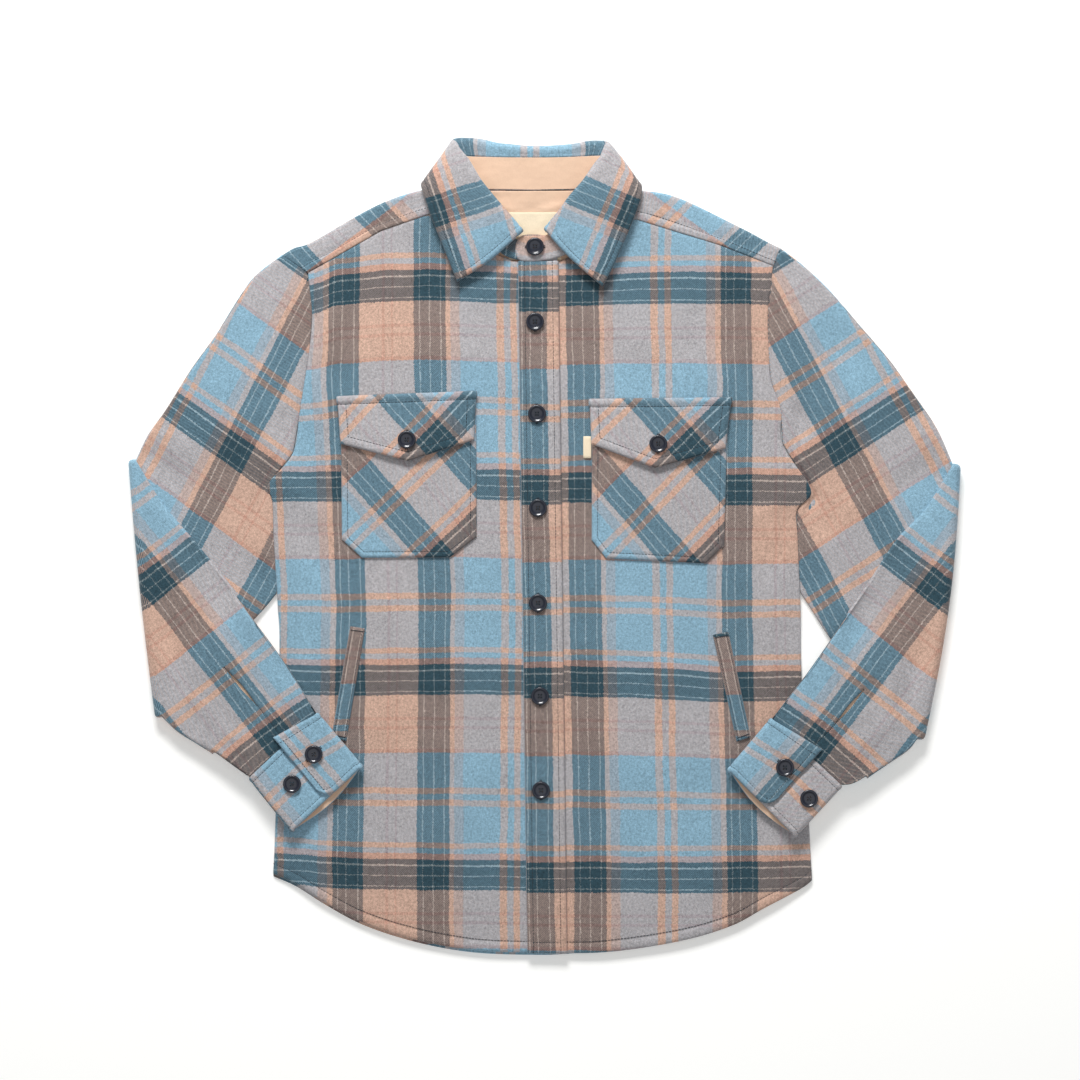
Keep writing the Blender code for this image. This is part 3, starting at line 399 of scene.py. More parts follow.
def wool_finish(name):
    """Plaid wool on the piece's own map of its cloth."""
    finish = bpy.data.materials.new(name)
    finish.use_nodes = True
    n = Nodes(finish.node_tree)
    shader = finish.node_tree.nodes["Principled BSDF"]
    shader.inputs["Roughness"].default_value = 0.92
    shader.inputs["Specular IOR Level"].default_value = 0.25
    shader.inputs["Sheen Weight"].default_value = 0.35
    shader.inputs["Sheen Roughness"].default_value = 0.45
    shader.inputs["Sheen Tint"].default_value = (0.90, 0.94, 1.0, 1.0)
    cloth = n.add("ShaderNodeUVMap", uv_map="cloth")
    place = n.add("ShaderNodeTexCoord")
    plaid = n.add("ShaderNodeGroup")
    plaid.node_tree = bpy.data.node_groups.get("brushed_plaid") or plaid_group()
    n.link(cloth.outputs["UV"], plaid.inputs["Cloth"])
    n.link(place.outputs["Object"], plaid.inputs["Surface"])
    n.link(plaid.outputs["Color"], shader.inputs["Base Color"])
    bump = n.add("ShaderNodeBump")
    bump.inputs["Strength"].default_value = 0.30
    bump.inputs["Distance"].default_value = 0.0006
    n.link(plaid.outputs["Height"], bump.inputs["Height"])
    n.link(bump.outputs["Normal"], shader.inputs["Normal"])
    return finish


wool = wool_finish("plaid_wool")


def collar_share(x, y):
    """How far a place lies over the collar's hidden leaf, from 0 to 1."""
    return smooth((y - 284.0) / 54.0) * smooth((162.0 - np.abs(x - COLLAR_X)) / 44.0)


def back_floor(x, y):
    """Underside of the back layer: flat on the table, raised over the collar's hidden leaf."""
    return 3.3 * collar_share(x, y)


def side_x(side, y):
    """Where the armhole or side line lies at a height up the body."""
    line = np.array(sorted(side, key=lambda point: point[1]))
    return np.interp(y, line[:, 1], line[:, 0])


def finish_piece(piece, nodes):
    """Everything the frame is told about a piece of cloth."""
    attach(piece, "root")
    if nodes:
        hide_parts(*nodes)


def make_back_panel():
    rows = lines_across(600.0, 5.0, NEAR_SEAM, NEAR_HEM)
    columns = lines_across(535.0, 6.0)
    hem = np.array([(x, y - BACK_HEM_DROP * (1.0 - smooth(x / 40.0))) for x, y in refine(HEM, 6)])
    sides = []
    for side in (RIGHT_SIDE, LEFT_SIDE):
        start = [(side_x(side, YOKE_SEAM_Y - GAP), YOKE_SEAM_Y - GAP)]
        sides.append(curve(start + [point for point in side if point[1] < YOKE_SEAM_Y - 5.0], rows))
    sides[0][-1] = hem[0]
    top = by_length([sides[0][0], sides[1][0]], columns)
    plan = patch(top, by_axis(hem, 0, columns), *sides)
    left, right, _, hem_distance = from_edges(plan)
    relief = turned_edge(hem_distance, NEAR_HEM[HEM_LINE]) - 0.5 * np.exp(-np.minimum(left, right) / 0.8)
    x, y = plan[..., 0], plan[..., 1]
    cloth = np.stack([x + BACK_CHECK_X, BACK_CHECK_Y - y], axis=2)
    piece, _ = laid("jacket_back", plan, back_floor(x, y), WOOL, relief * 0.6, cloth, [wool])
    finish_piece(piece, ["back_panel"])


make_back_panel()


# Fronts: one ply of the plaid wool each, cut separately, so their checks don't quite match. The right
# front carries the button band, and runs on under the placket. Hems are turned 10 mm and stitched.
FRONT_FLOOR = 4.7                  # their underside, over the back
SIDE_FLOOR = 2.5                   # lower at the side seams
SIDE_ROLL = 45.0                   # within this distance of the seam
NECK_FLOOR = 7.4                   # higher beside the neck
PLACKET_X = (-24.7, 14.3)          # the placket's two edges at the neck
PLACKET_HEM_X = (-15.5, 23.0)      # and at the hem
NECK_Y = 282.4
BAND_EDGE_X = 12.6
# Front seam of the yoke and the neckline, from the armhole to the placket: x, y
RIGHT_TOP = [(-235.5, 272.0), (-162.9, 313.6), (-113.8, 330.4), (-80.0, 337.5), (-64.0, 308.0),
             (-46.0, 290.0), (-30.0, 283.4), (BAND_EDGE_X, NECK_Y)]
LEFT_TOP = [(PLACKET_X[1] + GAP, NECK_Y), (28.0, 288.0), (42.0, 302.0), (59.0, 333.5),
            (89.1, 326.2), (176.1, 299.8), (229.5, 279.0)]
# Where the first dark band of the warp and the second one start, at heights up the body: y, x, x
RIGHT_WARP = [(-316.0, -211.5, -127.5), (-55.5, -207.2, -125.9), (170.5, -217.0, -130.1),
              (228.5, -214.5, -130.9)]
LEFT_WARP = [(-316.0, 29.8, 184.0), (-55.5, 25.0, 178.2), (161.8, 23.1, 179.0), (225.0, 21.5, 177.4)]
# Upper edges of the four dark bands of the weft, across the body: x, y, y, y, y
RIGHT_WEFT = [(-260.0, 256.0, 72.8, -120.4, -309.0), (-233.0, 258.9, 73.0, -120.6, -311.0),
              (-223.8, 261.5, 73.2, -120.8, -312.0), (-207.5, 269.5, 73.6, -121.0, -313.0),
              (-190.5, 270.8, 74.0, -120.9, -314.0), (-157.5, 274.6, 74.6, -120.2, -314.8),
              (-116.0, 275.5, 75.4, -119.6, -315.2), (-58.0, 272.9, 75.2, -119.4, -315.4),
              (-24.0, 271.5, 74.6, -120.2, -315.8)]
LEFT_WEFT = [(14.0, 269.0, 72.0, -121.0, -317.0), (41.0, 269.8, 72.3, -121.8, -317.5),
             (82.5, 271.3, 72.0, -122.6, -318.0), (115.5, 272.2, 71.4, -124.0, -318.2),
             (149.0, 272.9, 70.8, -126.0, -318.0), (182.5, 272.2, 70.2, -128.5, -317.6),
             (232.0, 271.5, 69.8, -126.8, -317.0), (262.0, 271.0, 69.6, -126.4, -316.0)]
# Soft folds of the fronts: from x, y, to x, y, height, half width
FRONT_FOLDS = [(-212.0, 250.0, -218.0, 120.0, 1.3, 9.0), (-196.0, 232.0, -204.0, 150.0, -0.8, 8.0),
               (-228.0, 205.0, -232.0, 110.0, 0.9, 7.0), (-262.0, 64.0, -214.0, 20.0, 0.9, 9.0),
               (-258.0, 40.0, -222.0, -40.0, -0.7, 10.0), (-60.0, 262.0, -96.0, 190.0, 0.7, 16.0),
               (206.0, 262.0, 199.0, 70.0, 1.4, 6.5), (216.0, 215.0, 213.0, 110.0, -0.9, 6.0),
               (187.0, 240.0, 182.0, 168.0, -0.7, 9.0), (250.0, 56.0, 205.0, 24.0, 0.9, 9.0),
               (246.0, 30.0, 214.0, -46.0, -0.8, 11.0), (60.0, 250.0, 96.0, 190.0, 0.7, 16.0),
               (-46.0, -20.0, -52.0, -250.0, 0.8, 12.0), (-150.0, -200.0, -172.0, -330.0, -0.8, 16.0),
               (-96.0, -40.0, -120.0, -210.0, 0.6, 20.0), (60.0, -60.0, 54.0, -260.0, 0.6, 16.0),
               (120.0, -180.0, 142.0, -340.0, -0.8, 18.0), (-232.0, -210.0, -224.0, -320.0, 0.9, 10.0),
               (238.0, -200.0, 232.0, -320.0, 0.8, 10.0), (40.0, 200.0, 36.0, 60.0, 0.5, 9.0)]


def front_floor(x, y):
    """Underside of the fronts: level, lower at the side seams, higher beside the neck."""
    right = 1.0 - smooth((x - side_x(RIGHT_SIDE, y)) / SIDE_ROLL)
    left = 1.0 - smooth((side_x(LEFT_SIDE, y) - x) / SIDE_ROLL)
    drop = (FRONT_FLOOR - SIDE_FLOOR) * smooth((-45.0 - y) / 60.0) * (right + left)
    swell = 0.5 * np.sin(y / 58.0 + x / 95.0)
    level = FRONT_FLOOR - drop + (NECK_FLOOR - FRONT_FLOOR) * collar_share(x, y)
    return level + swell * smooth((250.0 - np.abs(x)) / 60.0) * smooth((240.0 - y) / 60.0)


def front_folds(x, y):
    """The folds fade out at the neck, where the collar presses on the fronts."""
    ripple = 0.35 * np.sin(x / 21.0 + y / 37.0) * np.sin(y / 29.0 - x / 53.0)
    return (1.35 * creases(x, y, FRONT_FOLDS) + ripple) * smooth((290.0 - y) / 30.0)


def front_top(x, y):
    """Upper side of the fronts, on which pockets, welts and placket lie."""
    return front_floor(x, y) + WOOL + front_folds(x, y)


def body_cloth(plan, warp, weft, marks):
    """Place on the woven cloth, from where its dark bands lie on the body."""
    x, y = plan[..., 0], plan[..., 1]
    warp, weft = np.array(warp), np.array(weft)
    first, second = np.interp(y, warp[:, 0], warp[:, 1]), np.interp(y, warp[:, 0], warp[:, 2])
    share = (x - first) / (second - first)
    stretched = marks[0] + share * (marks[1] - marks[0])
    u = np.where(share < 0, marks[0] + x - first, np.where(share > 1, marks[1] + x - second, stretched))
    tops = np.stack([np.interp(x, weft[:, 0], weft[:, k]) for k in range(1, 5)])
    v = tops[0] - y
    for k in range(3):
        part = (tops[k] - y) / (tops[k] - tops[k + 1])
        v = np.where(part > 0, (k + part) * WEFT_REPEAT, v)
    v = np.where(y < tops[3], 3 * WEFT_REPEAT + tops[3] - y, v)
    return np.stack([u, v], axis=2)


def on_hem(x):
    return (x, float(np.interp(x, *refine(HEM, 6).T)))


def make_fronts():
    rows = lines_across(650.0, 4.5, NEAR_SEAM, NEAR_HEM)

    def front(name, node, upper, left_line, right_line, warp, weft, marks, area):
        columns = lines_across(upper[-1][0] - upper[0][0], 4.2)
        left, right = curve(left_line, rows), curve(right_line, rows)
        lower = refine(HEM, 6)
        inside = lower[(lower[:, 0] > left[-1][0] + 1.0) & (lower[:, 0] < right[-1][0] - 1.0)]
        lower = np.concatenate([[left[-1]], inside, [right[-1]]])
        plan = patch(by_axis(upper, 0, columns), by_axis(lower, 0, columns), left, right)
        x, y = plan[..., 0], plan[..., 1]
        to_left, to_right, to_top, to_hem = from_edges(plan)
        folds = front_folds(x, y)
        relief = folds + turned_edge(to_hem, NEAR_HEM[HEM_LINE])
        relief -= 0.8 * np.exp(-np.minimum(np.minimum(to_left, to_right), to_top) / 1.0)
        cloth = body_cloth(plan, warp, weft, marks)
        # The underside follows the folds more weakly than the face
        piece, top = laid(name, plan, front_floor(x, y) + 0.6 * folds, WOOL, relief - 0.6 * folds,
                          cloth, [wool])
        finish_piece(piece, [node])
        return top

    right = front("right_front_cloth", "right_front", RIGHT_TOP, RIGHT_SIDE,
                  [RIGHT_TOP[-1], on_hem(BAND_EDGE_X)], RIGHT_WARP, RIGHT_WEFT,
                  (0.0, SECOND_BAND), 0.185)
    left = front("left_front_cloth", "left_front", LEFT_TOP,
                 [LEFT_TOP[0], on_hem(PLACKET_HEM_X[1] + GAP)], LEFT_SIDE, LEFT_WARP, LEFT_WEFT,
                 (SECOND_BAND, WARP_REPEAT), 0.165)
    return right, left


right_front_top, left_front_top = make_fronts()


# Back yoke: one ply, laid under the neck, rolled over both shoulders and brought down to its seam on
# the fronts. The seam is turned under and topstitched, so it stands up as a ridge.
# Fold along the shoulder: fold x, fold y, x of the point of the front seam across from it
RIGHT_SHOULDER = [(-261.0, 290.0, -235.5), (-249.9, 296.5, -224.0), (-233.0, 302.0, -206.0),
                  (-190.9, 326.5, -162.9), (-157.5, 343.5, -138.0), (-121.5, 354.5, -113.8),
                  (-100.0, 353.5, -95.0), (-80.5, 352.0, -80.0)]
LEFT_SHOULDER = [(61.0, 350.0, 59.0), (80.0, 353.0, 74.0), (101.0, 353.5, 89.1), (136.5, 346.5, 118.0),
                 (198.5, 316.5, 176.1), (222.0, 304.0, 205.0), (236.5, 297.0, 229.5)]
BACK_NECK = [(-80.5, 352.0), (-60.0, 354.0), (-35.0, 354.0), (-10.8, 353.4), (15.0, 353.8),
             (40.0, 354.2), (61.0, 350.0)]
YOKE_FOLDS = [(-232.0, 286.0, -196.0, 316.0, 0.8, 6.0), (-150.0, 326.0, -128.0, 348.0, -0.6, 7.0),
              (206.0, 306.0, 176.0, 320.0, 0.8, 6.0), (128.0, 322.0, 112.0, 346.0, -0.6, 7.0),
              (-120.0, 260.0, -60.0, 330.0, 0.8, 14.0), (96.0, 262.0, 40.0, 330.0, 0.8, 14.0)]


# Where a check lies straight: a point of the warp, the way across it, its place on the cloth, then the
# same for the weft
RIGHT_YOKE_CHECK = ((-190.9, 327.4), (0.714, 0.70), SECOND_BAND, (-177.5, 317.2), (-0.595, 0.80),
                    BLUE_WEFT)
LEFT_YOKE_CHECK = ((198.9, 325.4), (0.69, -0.72), 231.5, (134.5, 331.8), (0.569, 0.822), BLUE_WEFT)
RIGHT_CORNER, LEFT_CORNER = (-235.2, 272.5), (229.2, 279.6)    # the fronts' upper corners at the armholes


def checked(plan, warp_from, warp_way, warp_place, weft_from, weft_way, weft_place):
    """Place on the cloth for a check that lies straight at any angle."""
    x, y = plan[..., 0], plan[..., 1]
    u = warp_place + (x - warp_from[0]) * warp_way[0] + (y - warp_from[1]) * warp_way[1]
    v = weft_place + (x - weft_from[0]) * weft_way[0] + (y - weft_from[1]) * weft_way[1]
    return np.stack([u, v], axis=-1)


def walled(name, middle, thickness, relief, cloth, finishes, outward=1.0, keep=None):
    """A curved piece about its middle surface, with its relief on the outward side."""
    normal = np.cross(np.gradient(middle, axis=1), np.gradient(middle, axis=0)) * outward
    normal /= np.maximum(np.linalg.norm(normal, axis=2), 1e-9)[..., None]
    face = middle + normal * (thickness / 2 + np.asarray(relief)[..., None])
    return shell(name, face, middle - normal * thickness / 2, cloth, finishes, keep=keep), face


def make_yoke():
    right, left = refine(RIGHT_SHOULDER, 6), refine(LEFT_SHOULDER, 6)
    neck = refine(BACK_NECK, 4)[1:-1]
    neck = np.column_stack([neck, np.full(len(neck), np.nan)])
    places = np.concatenate([right, neck, left])
    stations = np.concatenate([np.arange(len(right)) / 6, 7 + np.arange(1, len(neck) + 1) / 4,
                               13 + np.arange(len(left)) / 6])
    seam_ends = [side_x(RIGHT_SIDE, YOKE_SEAM_Y), side_x(LEFT_SIDE, YOKE_SEAM_Y)]
    starts = np.interp(stations, [0.0, stations[-1]], seam_ends)
    low = lines_across(105.0, 8.0, NEAR_SEAM, (0.0, 4.0))
    high = lines_across(27.0, 3.0, (0.0, 2.0), (0.0, 0.5, 1.6, 3.0, 4.6, 5.8, 6.8, 7.8, 9.6))
    columns, ridges = [], []
    for station, start_x, (fold_x, fold_y, seam_x) in zip(stations, starts, places):
        fold, start = np.array([fold_x, fold_y]), np.array([start_x, YOKE_SEAM_Y])
        seam = fold
        if not math.isnan(seam_x):
            line = np.array(RIGHT_TOP if seam_x < COLLAR_X else LEFT_TOP)
            seam = np.array([seam_x, np.interp(seam_x, *line.T) + GAP * 1.3])
        low_z, high_z = back_floor(*fold) + WOOL / 2, front_floor(*fold) + WOOL / 2
        radius = (high_z - low_z) / 2
        inward = (seam - fold) / max(np.linalg.norm(seam - fold), 1.0)
        centre = fold + inward * (radius + WOOL / 2)
        bend = (start + centre) / 2
        bend += max(1.0 - station, 0.0) * (np.array(RIGHT_CORNER) - bend)
        bend += max(station - (stations[-1] - 1.0), 0.0) * (np.array(LEFT_CORNER) - bend)
        points = [(*place, back_floor(*place) + WOOL / 2) for place in by_length([start, bend, centre], low)]
        for angle in np.linspace(0.0, math.pi, 9)[1:]:
            place = centre - inward * radius * math.sin(angle)
            points.append((*place, low_z + radius * (1.0 - math.cos(angle))))
        for share in high[1:]:
            place = centre + (seam - centre) * share
            points.append((*place, front_floor(*place) + WOOL / 2))
        to_seam = np.linalg.norm(seam - centre) * (1.0 - high[1:])
        columns.append(points)
        ridges.append([0.0] * (len(points) - len(to_seam)) + to_seam.tolist())
    middle, to_seam = np.array(columns).transpose(1, 0, 2), np.array(ridges).T
    is_high = np.arange(len(middle))[:, None] >= len(low) + 8
    keep = np.ones((middle.shape[0] - 1, middle.shape[1] - 1), bool)
    keep[len(low):, len(right) - 1:-len(left) + 1] = False

    x, y = middle[..., 0], middle[..., 1]
    ridge = 0.9 * smooth((7.4 - to_seam) / 1.2) - 0.55 * np.exp(-((to_seam - 8.0) / 0.8) ** 2)
    relief = np.where(is_high, ridge - 0.7 * np.exp(-to_seam / 0.7) + creases(x, y, YOKE_FOLDS), 0.0)
    # The check lies square on the back and turns with the cloth over each shoulder
    is_right = (np.arange(len(places)) < len(right))[None, :, None]
    front = np.where(is_right, checked(middle, *RIGHT_YOKE_CHECK), checked(middle, *LEFT_YOKE_CHECK))
    back = np.stack([x + 274.2, 429.3 - y], axis=2)
    back[:, len(right) + 12:] -= np.array([WARP_REPEAT, 0.0])
    fold_row = len(low) + 3
    offset = front[fold_row] - back[fold_row]
    offset[len(right):-len(left)] = 0.0
    run = np.linalg.norm(middle[:fold_row + 1] - middle[fold_row], axis=2)[..., None]
    cloth = front.copy()
    cloth[:fold_row + 1] = back[:fold_row + 1] + offset * smooth(1.0 - run / 60.0)
    piece, face = walled("back_yoke_cloth", middle, WOOL, relief, cloth, [wool], outward=-1.0, keep=keep)
    finish_piece(piece, ["back_yoke"])
    return face


yoke_face = make_yoke()


# Yoke lining: plain tan cotton twill, seen in the neck. It lies on the yoke, with a few pull creases
# above the label.
TWILL = 1.0


def twill_finish(name, colour, rib):
    """Plain cotton in a fine twill, slightly uneven in colour."""
    finish = bpy.data.materials.new(name)
    finish.use_nodes = True
    n = Nodes(finish.node_tree)
    shader = finish.node_tree.nodes["Principled BSDF"]
    shader.inputs["Roughness"].default_value = 0.85
    shader.inputs["Sheen Weight"].default_value = 0.15
    place = n.add("ShaderNodeTexCoord").outputs["Object"]
    cloud = n.noise(place, 26.0, 3.0)
    shade = n.math("MULTIPLY_ADD", n.math("SUBTRACT", cloud, 0.5), 0.16, 1.0)
    shade = n.math("MULTIPLY_ADD", n.math("SUBTRACT", n.noise(place, 900.0), 0.5), 0.14, shade)
    tinted = n.add("ShaderNodeVectorMath", operation="SCALE")
    tinted.inputs[0].default_value = colour[:3]
    n.link(shade, tinted.inputs["Scale"])
    n.link(tinted.outputs[0], shader.inputs["Base Color"])
    split = n.add("ShaderNodeSeparateXYZ")
    n.link(place, split.inputs[0])
    across = n.math("ADD", split.outputs[0], split.outputs[1])
    wave = n.math("SINE", n.math("MULTIPLY", across, 2.0 * math.pi / (rib * MM)))
    bump = n.add("ShaderNodeBump")
    bump.inputs["Strength"].default_value = 0.25
    bump.inputs["Distance"].default_value = 0.0003
    n.link(wave, bump.inputs["Height"])
    crumple = n.add("ShaderNodeBump")
    crumple.inputs["Strength"].default_value = 0.6
    crumple.inputs["Distance"].default_value = 0.0035
    n.link(n.noise(place, 42.0, 2.0), crumple.inputs["Height"])
    n.link(crumple.outputs["Normal"], bump.inputs["Normal"])
    n.link(bump.outputs["Normal"], shader.inputs["Normal"])
    return finish


tan = twill_finish("tan_twill", linear(228, 193, 165), 0.9)
LINING_NECK = [(-72.0, 351.0), (-60.0, 353.0), (40.0, 353.2), (52.0, 349.0)]
LINING_FOOT = [(-60.0, 262.0), (44.0, 262.0)]
LINING_FOLDS = [(-16.0, 329.5, 27.0, 342.5, 0.9, 2.2), (-18.0, 334.0, 20.0, 344.0, -0.7, 3.0),
                (-52.0, 341.0, -28.0, 333.0, 0.6, 3.0), (18.0, 330.0, 44.0, 336.0, 0.5, 3.0),
                (-58.0, 350.0, -20.0, 346.0, -0.4, 2.6)]


def make_lining():
    columns, rows = lines_across(124.0, 3.0), lines_across(90.0, 3.0)
    neck, foot = by_length(LINING_NECK, columns), by_length(LINING_FOOT, columns)
    plan = patch(neck, foot, by_length([neck[0], foot[0]], rows), by_length([neck[-1], foot[-1]], rows))
    x, y = plan[..., 0], plan[..., 1]
    relief = (creases(x, y, LINING_FOLDS) + 0.3) * smooth((y - 331.5) / 4.0)
    piece, _ = laid("yoke_lining_cloth", plan, back_floor(x, y) + WOOL + GAP, TWILL, relief, plan, [tan])
    finish_piece(piece, ["yoke_lining"])


make_lining()


# Neck label: a bare cream woven tape sewn to the lining, its top edge turned in. The collar's tab and
# the placket hide its lower part.
TAPE = 0.8
LABEL_X = (-34.5, 17.5)
LABEL_Y = (331.9, 285.5)
cream = twill_finish("cream_tape", linear(248, 230, 200), 0.5)


def make_label():
    columns = lines_across(LABEL_X[1] - LABEL_X[0], 6.0, NEAR_EDGE[:5], NEAR_EDGE[:5])
    rows = lines_across(LABEL_Y[0] - LABEL_Y[1], 6.0, NEAR_EDGE[:5])
    plan = np.stack(np.meshgrid(LABEL_X[0] + (LABEL_X[1] - LABEL_X[0]) * columns,
                                LABEL_Y[0] + (LABEL_Y[1] - LABEL_Y[0]) * rows), axis=2)
    floor = back_floor(plan[..., 0], plan[..., 1]) + WOOL + GAP + TWILL + GAP
    left, right, top, _ = from_edges(plan)
    edge = np.minimum(np.minimum(left, right), top)
    relief = 0.15 * smooth((3.0 - edge) / 1.0) - 0.2 * np.exp(-edge / 0.4)
    piece, _ = laid("neck_label_tape", plan, floor, TAPE, relief, plan, [cream])
    finish_piece(piece, ["neck_label"])


make_label()


# Placket: a straight band of the plaid wool folded double, stitched down along both edges. It laps
# the right front and carries the buttonholes.
BAND = 3.4
# Upper edges of the four dark bands of the weft
PLACKET_WEFT = [262.6, 69.5, -123.5, -317.5]


def make_placket():
    columns = lines_across(39.0, 4.0, NEAR_EDGE, NEAR_EDGE)
    rows = lines_across(690.0, 4.5, NEAR_SEAM, NEAR_HEM)
    edges = [by_length([(top_x, NECK_Y), on_hem(hem_x)], rows)
             for top_x, hem_x in zip(PLACKET_X, PLACKET_HEM_X)]
    plan = edges[0][:, None] + (edges[1] - edges[0])[:, None] * columns[None, :, None]
    x, y = plan[..., 0], plan[..., 1]
    left, right, _, hem = from_edges(plan)
    side = np.minimum(left, right)
    relief = turned_edge(side, NEAR_EDGE[STITCH_LINE], 0.35, 0.4)
    relief -= 0.45 * np.exp(-((hem - NEAR_HEM[HEM_LINE]) / 1.0) ** 2)
    relief += 0.25 * np.sin(y / 23.0) * np.sin(y / 41.0 + 1.0) - 0.8 * np.exp(-hem / 0.8)
    wave = 0.5 * np.sin(y / 61.0) + 0.25 * np.sin(y / 27.0 + 1.3)
    tops = np.array(PLACKET_WEFT)[::-1]
    v = np.interp(y, tops, WEFT_REPEAT * np.array([3.0, 2.0, 1.0, 0.0]))
    v += np.maximum(tops[0] - y, 0.0) - np.maximum(y - tops[-1], 0.0)
    cloth = np.stack([left + 3.0 + wave, v], axis=2)
    piece, top = laid("placket_band", plan, front_top(x, y) + GAP, BAND, relief, cloth, [wool])
    finish_piece(piece, ["placket"])
    return top


placket_top = make_placket()


# Chest pockets: patch pockets cut on the bias with clipped lower corners, edges turned under and
# stitched down 6 mm inside them. The flaps above are lined and stand off a little at the point.
RIGHT_POCKET = dict(top=[(-202.5, 147.0), (-67.8, 151.6)], left=[(-202.5, 147.0), (-201.2, 4.9)],
                    right=[(-67.8, 151.6), (-67.2, 7.5)],
                    bottom=[(-201.2, 4.9), (-181.5, -13.0), (-93.5, -12.5), (-67.2, 7.5)])
LEFT_POCKET = dict(top=[(49.0, 144.5), (184.5, 145.5)], left=[(49.0, 144.5), (48.5, 4.5)],
                   right=[(184.5, 145.5), (180.3, -1.1)],
                   bottom=[(48.5, 4.5), (62.5, -13.5), (162.1, -18.5), (180.3, -1.1)])
RIGHT_FLAP = dict(top=[(-205.5, 147.4), (-67.6, 152.8)], left=[(-205.5, 147.4), (-202.5, 101.2)],
                  right=[(-67.6, 152.8), (-69.8, 105.0)],
                  bottom=[(-202.5, 101.2), (-135.5, 83.9), (-69.8, 105.0)])
LEFT_FLAP = dict(top=[(46.5, 144.8), (187.3, 146.5)], left=[(46.5, 144.8), (48.5, 100.7)],
                 right=[(187.3, 146.5), (181.5, 96.5)],
                 bottom=[(48.5, 100.7), (111.5, 76.9), (181.5, 96.5)])
FLAP = 2.8
FLAP_RISE = 3.0                    # how far the point stands off
FLAP_STITCH, FLAP_TOP_STITCH = 8.1, 7.5
# Where the bias check lies straight, with the yoke check's columns
POCKET_CHECKS = {
    "right_pocket": ((-190.5, 57.8), (0.742, 0.67), 0.0, (-98.3, 8.1), (0.69, -0.72), WEFT_REPEAT),
    "right_flap": ((-165.0, 141.5), (0.742, 0.67), SECOND_BAND, (-108.0, 123.3), (0.72, -0.69), WEFT_REPEAT),
    "left_pocket": ((55.7, 53.3), (0.758, 0.652), 0.0, (150.7, -8.0), (0.72, -0.694), WEFT_REPEAT),
    "left_flap": ((83.4, 138.3), (0.742, 0.67), SECOND_BAND, (146.0, 117.1), (0.707, -0.707), WEFT_REPEAT),
}


def to_line(plan, line):
    """Distance of each point of a plan from a polyline."""
    line, nearest = np.array(line, float), np.full(plan.shape[:2], 1e9)
    for a, b in zip(line, line[1:]):
        share = np.clip(((plan - a) @ (b - a)) / ((b - a) @ (b - a)), 0.0, 1.0)
        nearest = np.minimum(nearest, np.linalg.norm(plan - a - share[..., None] * (b - a), axis=2))
    return nearest


def outline_patch(piece, cell, near_top):
    """Plan of a pocket or flap with mesh lines through the corners of its lower edge, and the
    fractions at which its lines lie down and across."""
    lower = np.array(piece["bottom"])
    width, height = lower[-1, 0] - lower[0, 0], piece["left"][0][1] - piece["left"][1][1]
    corners = (lower[:, 0] - lower[0, 0]) / width
    stops = lines_across(width, cell, NEAR_EDGE, NEAR_EDGE)
    stops = [stop for stop in stops
             if np.min(np.abs(corners[1:-1] - stop)) * width > 1.2 or stop in (0.0, 1.0)]
    stops = np.array(sorted(stops + corners[1:-1].tolist()))
    down = lines_across(height, cell, near_top, NEAR_EDGE)
    return patch(by_axis(piece["top"], 0, stops), by_axis(lower, 0, stops),
                 by_axis(piece["left"], 1, down), by_axis(piece["right"], 1, down)), down, stops


def make_pocket(name, piece):
    plan, _, _ = outline_patch(piece, 4.5, NEAR_SEAM)
    x, y = plan[..., 0], plan[..., 1]
    edge = to_line(plan, piece["left"][:1] + piece["bottom"] + piece["right"][:1])
    relief = turned_edge(edge, NEAR_EDGE[STITCH_LINE], 0.5, 0.5)
    relief += 0.35 * np.sin(x / 24.0 + y / 31.0) * smooth((edge - 7.0) / 14.0)
    piece_cloth, _ = laid(name + "_cloth", plan, front_top(x, y) + GAP, WOOL, relief,
                          checked(plan, *POCKET_CHECKS[name]), [wool])
    finish_piece(piece_cloth, [name])


def make_flap(name, piece):
    plan, down, across = outline_patch(piece, 4.5, (0.0, 0.6, 2.0, 4.0, 5.6, 6.6, 7.5, 8.4, 9.6, 11.5))
    x, y = plan[..., 0], plan[..., 1]
    rise = FLAP_RISE * down[:, None] ** 2 * (0.35 + 0.65 * np.sin(math.pi * across[None, :]))
    edge = to_line(plan, piece["left"][:1] + piece["bottom"] + piece["right"][:1])
    to_top = to_line(plan, piece["top"])
    relief = turned_edge(edge, FLAP_STITCH, 0.6, 0.45) * smooth((to_top - 4.0) / 8.0)
    relief += 0.9 * smooth((6.6 - to_top) / 1.6) - 0.75 * np.exp(-((to_top - FLAP_TOP_STITCH) / 1.0) ** 2)
    relief -= 0.9 * np.exp(-to_top / 0.9) + 0.25 * np.sin(x / 19.0 + 1.0) * smooth((edge - 9.0) / 8.0)
    floor = front_top(x, y) + GAP + WOOL + GAP + rise
    piece_cloth, _ = laid(name + "_cloth", plan, floor, FLAP, relief, checked(plan, *POCKET_CHECKS[name]),
                          [wool])
    finish_piece(piece_cloth, [name])


make_pocket("right_pocket", RIGHT_POCKET)
make_pocket("left_pocket", LEFT_POCKET)
make_flap("right_flap", RIGHT_FLAP)
make_flap("left_flap", LEFT_FLAP)


# Side tag: a bare cream tape folded double and caught in the left pocket's seam. It lies flat on the
# front beside the pocket.
TAG = (40.2, 47.4, 86.7, 107.8)    # left, right, foot and top


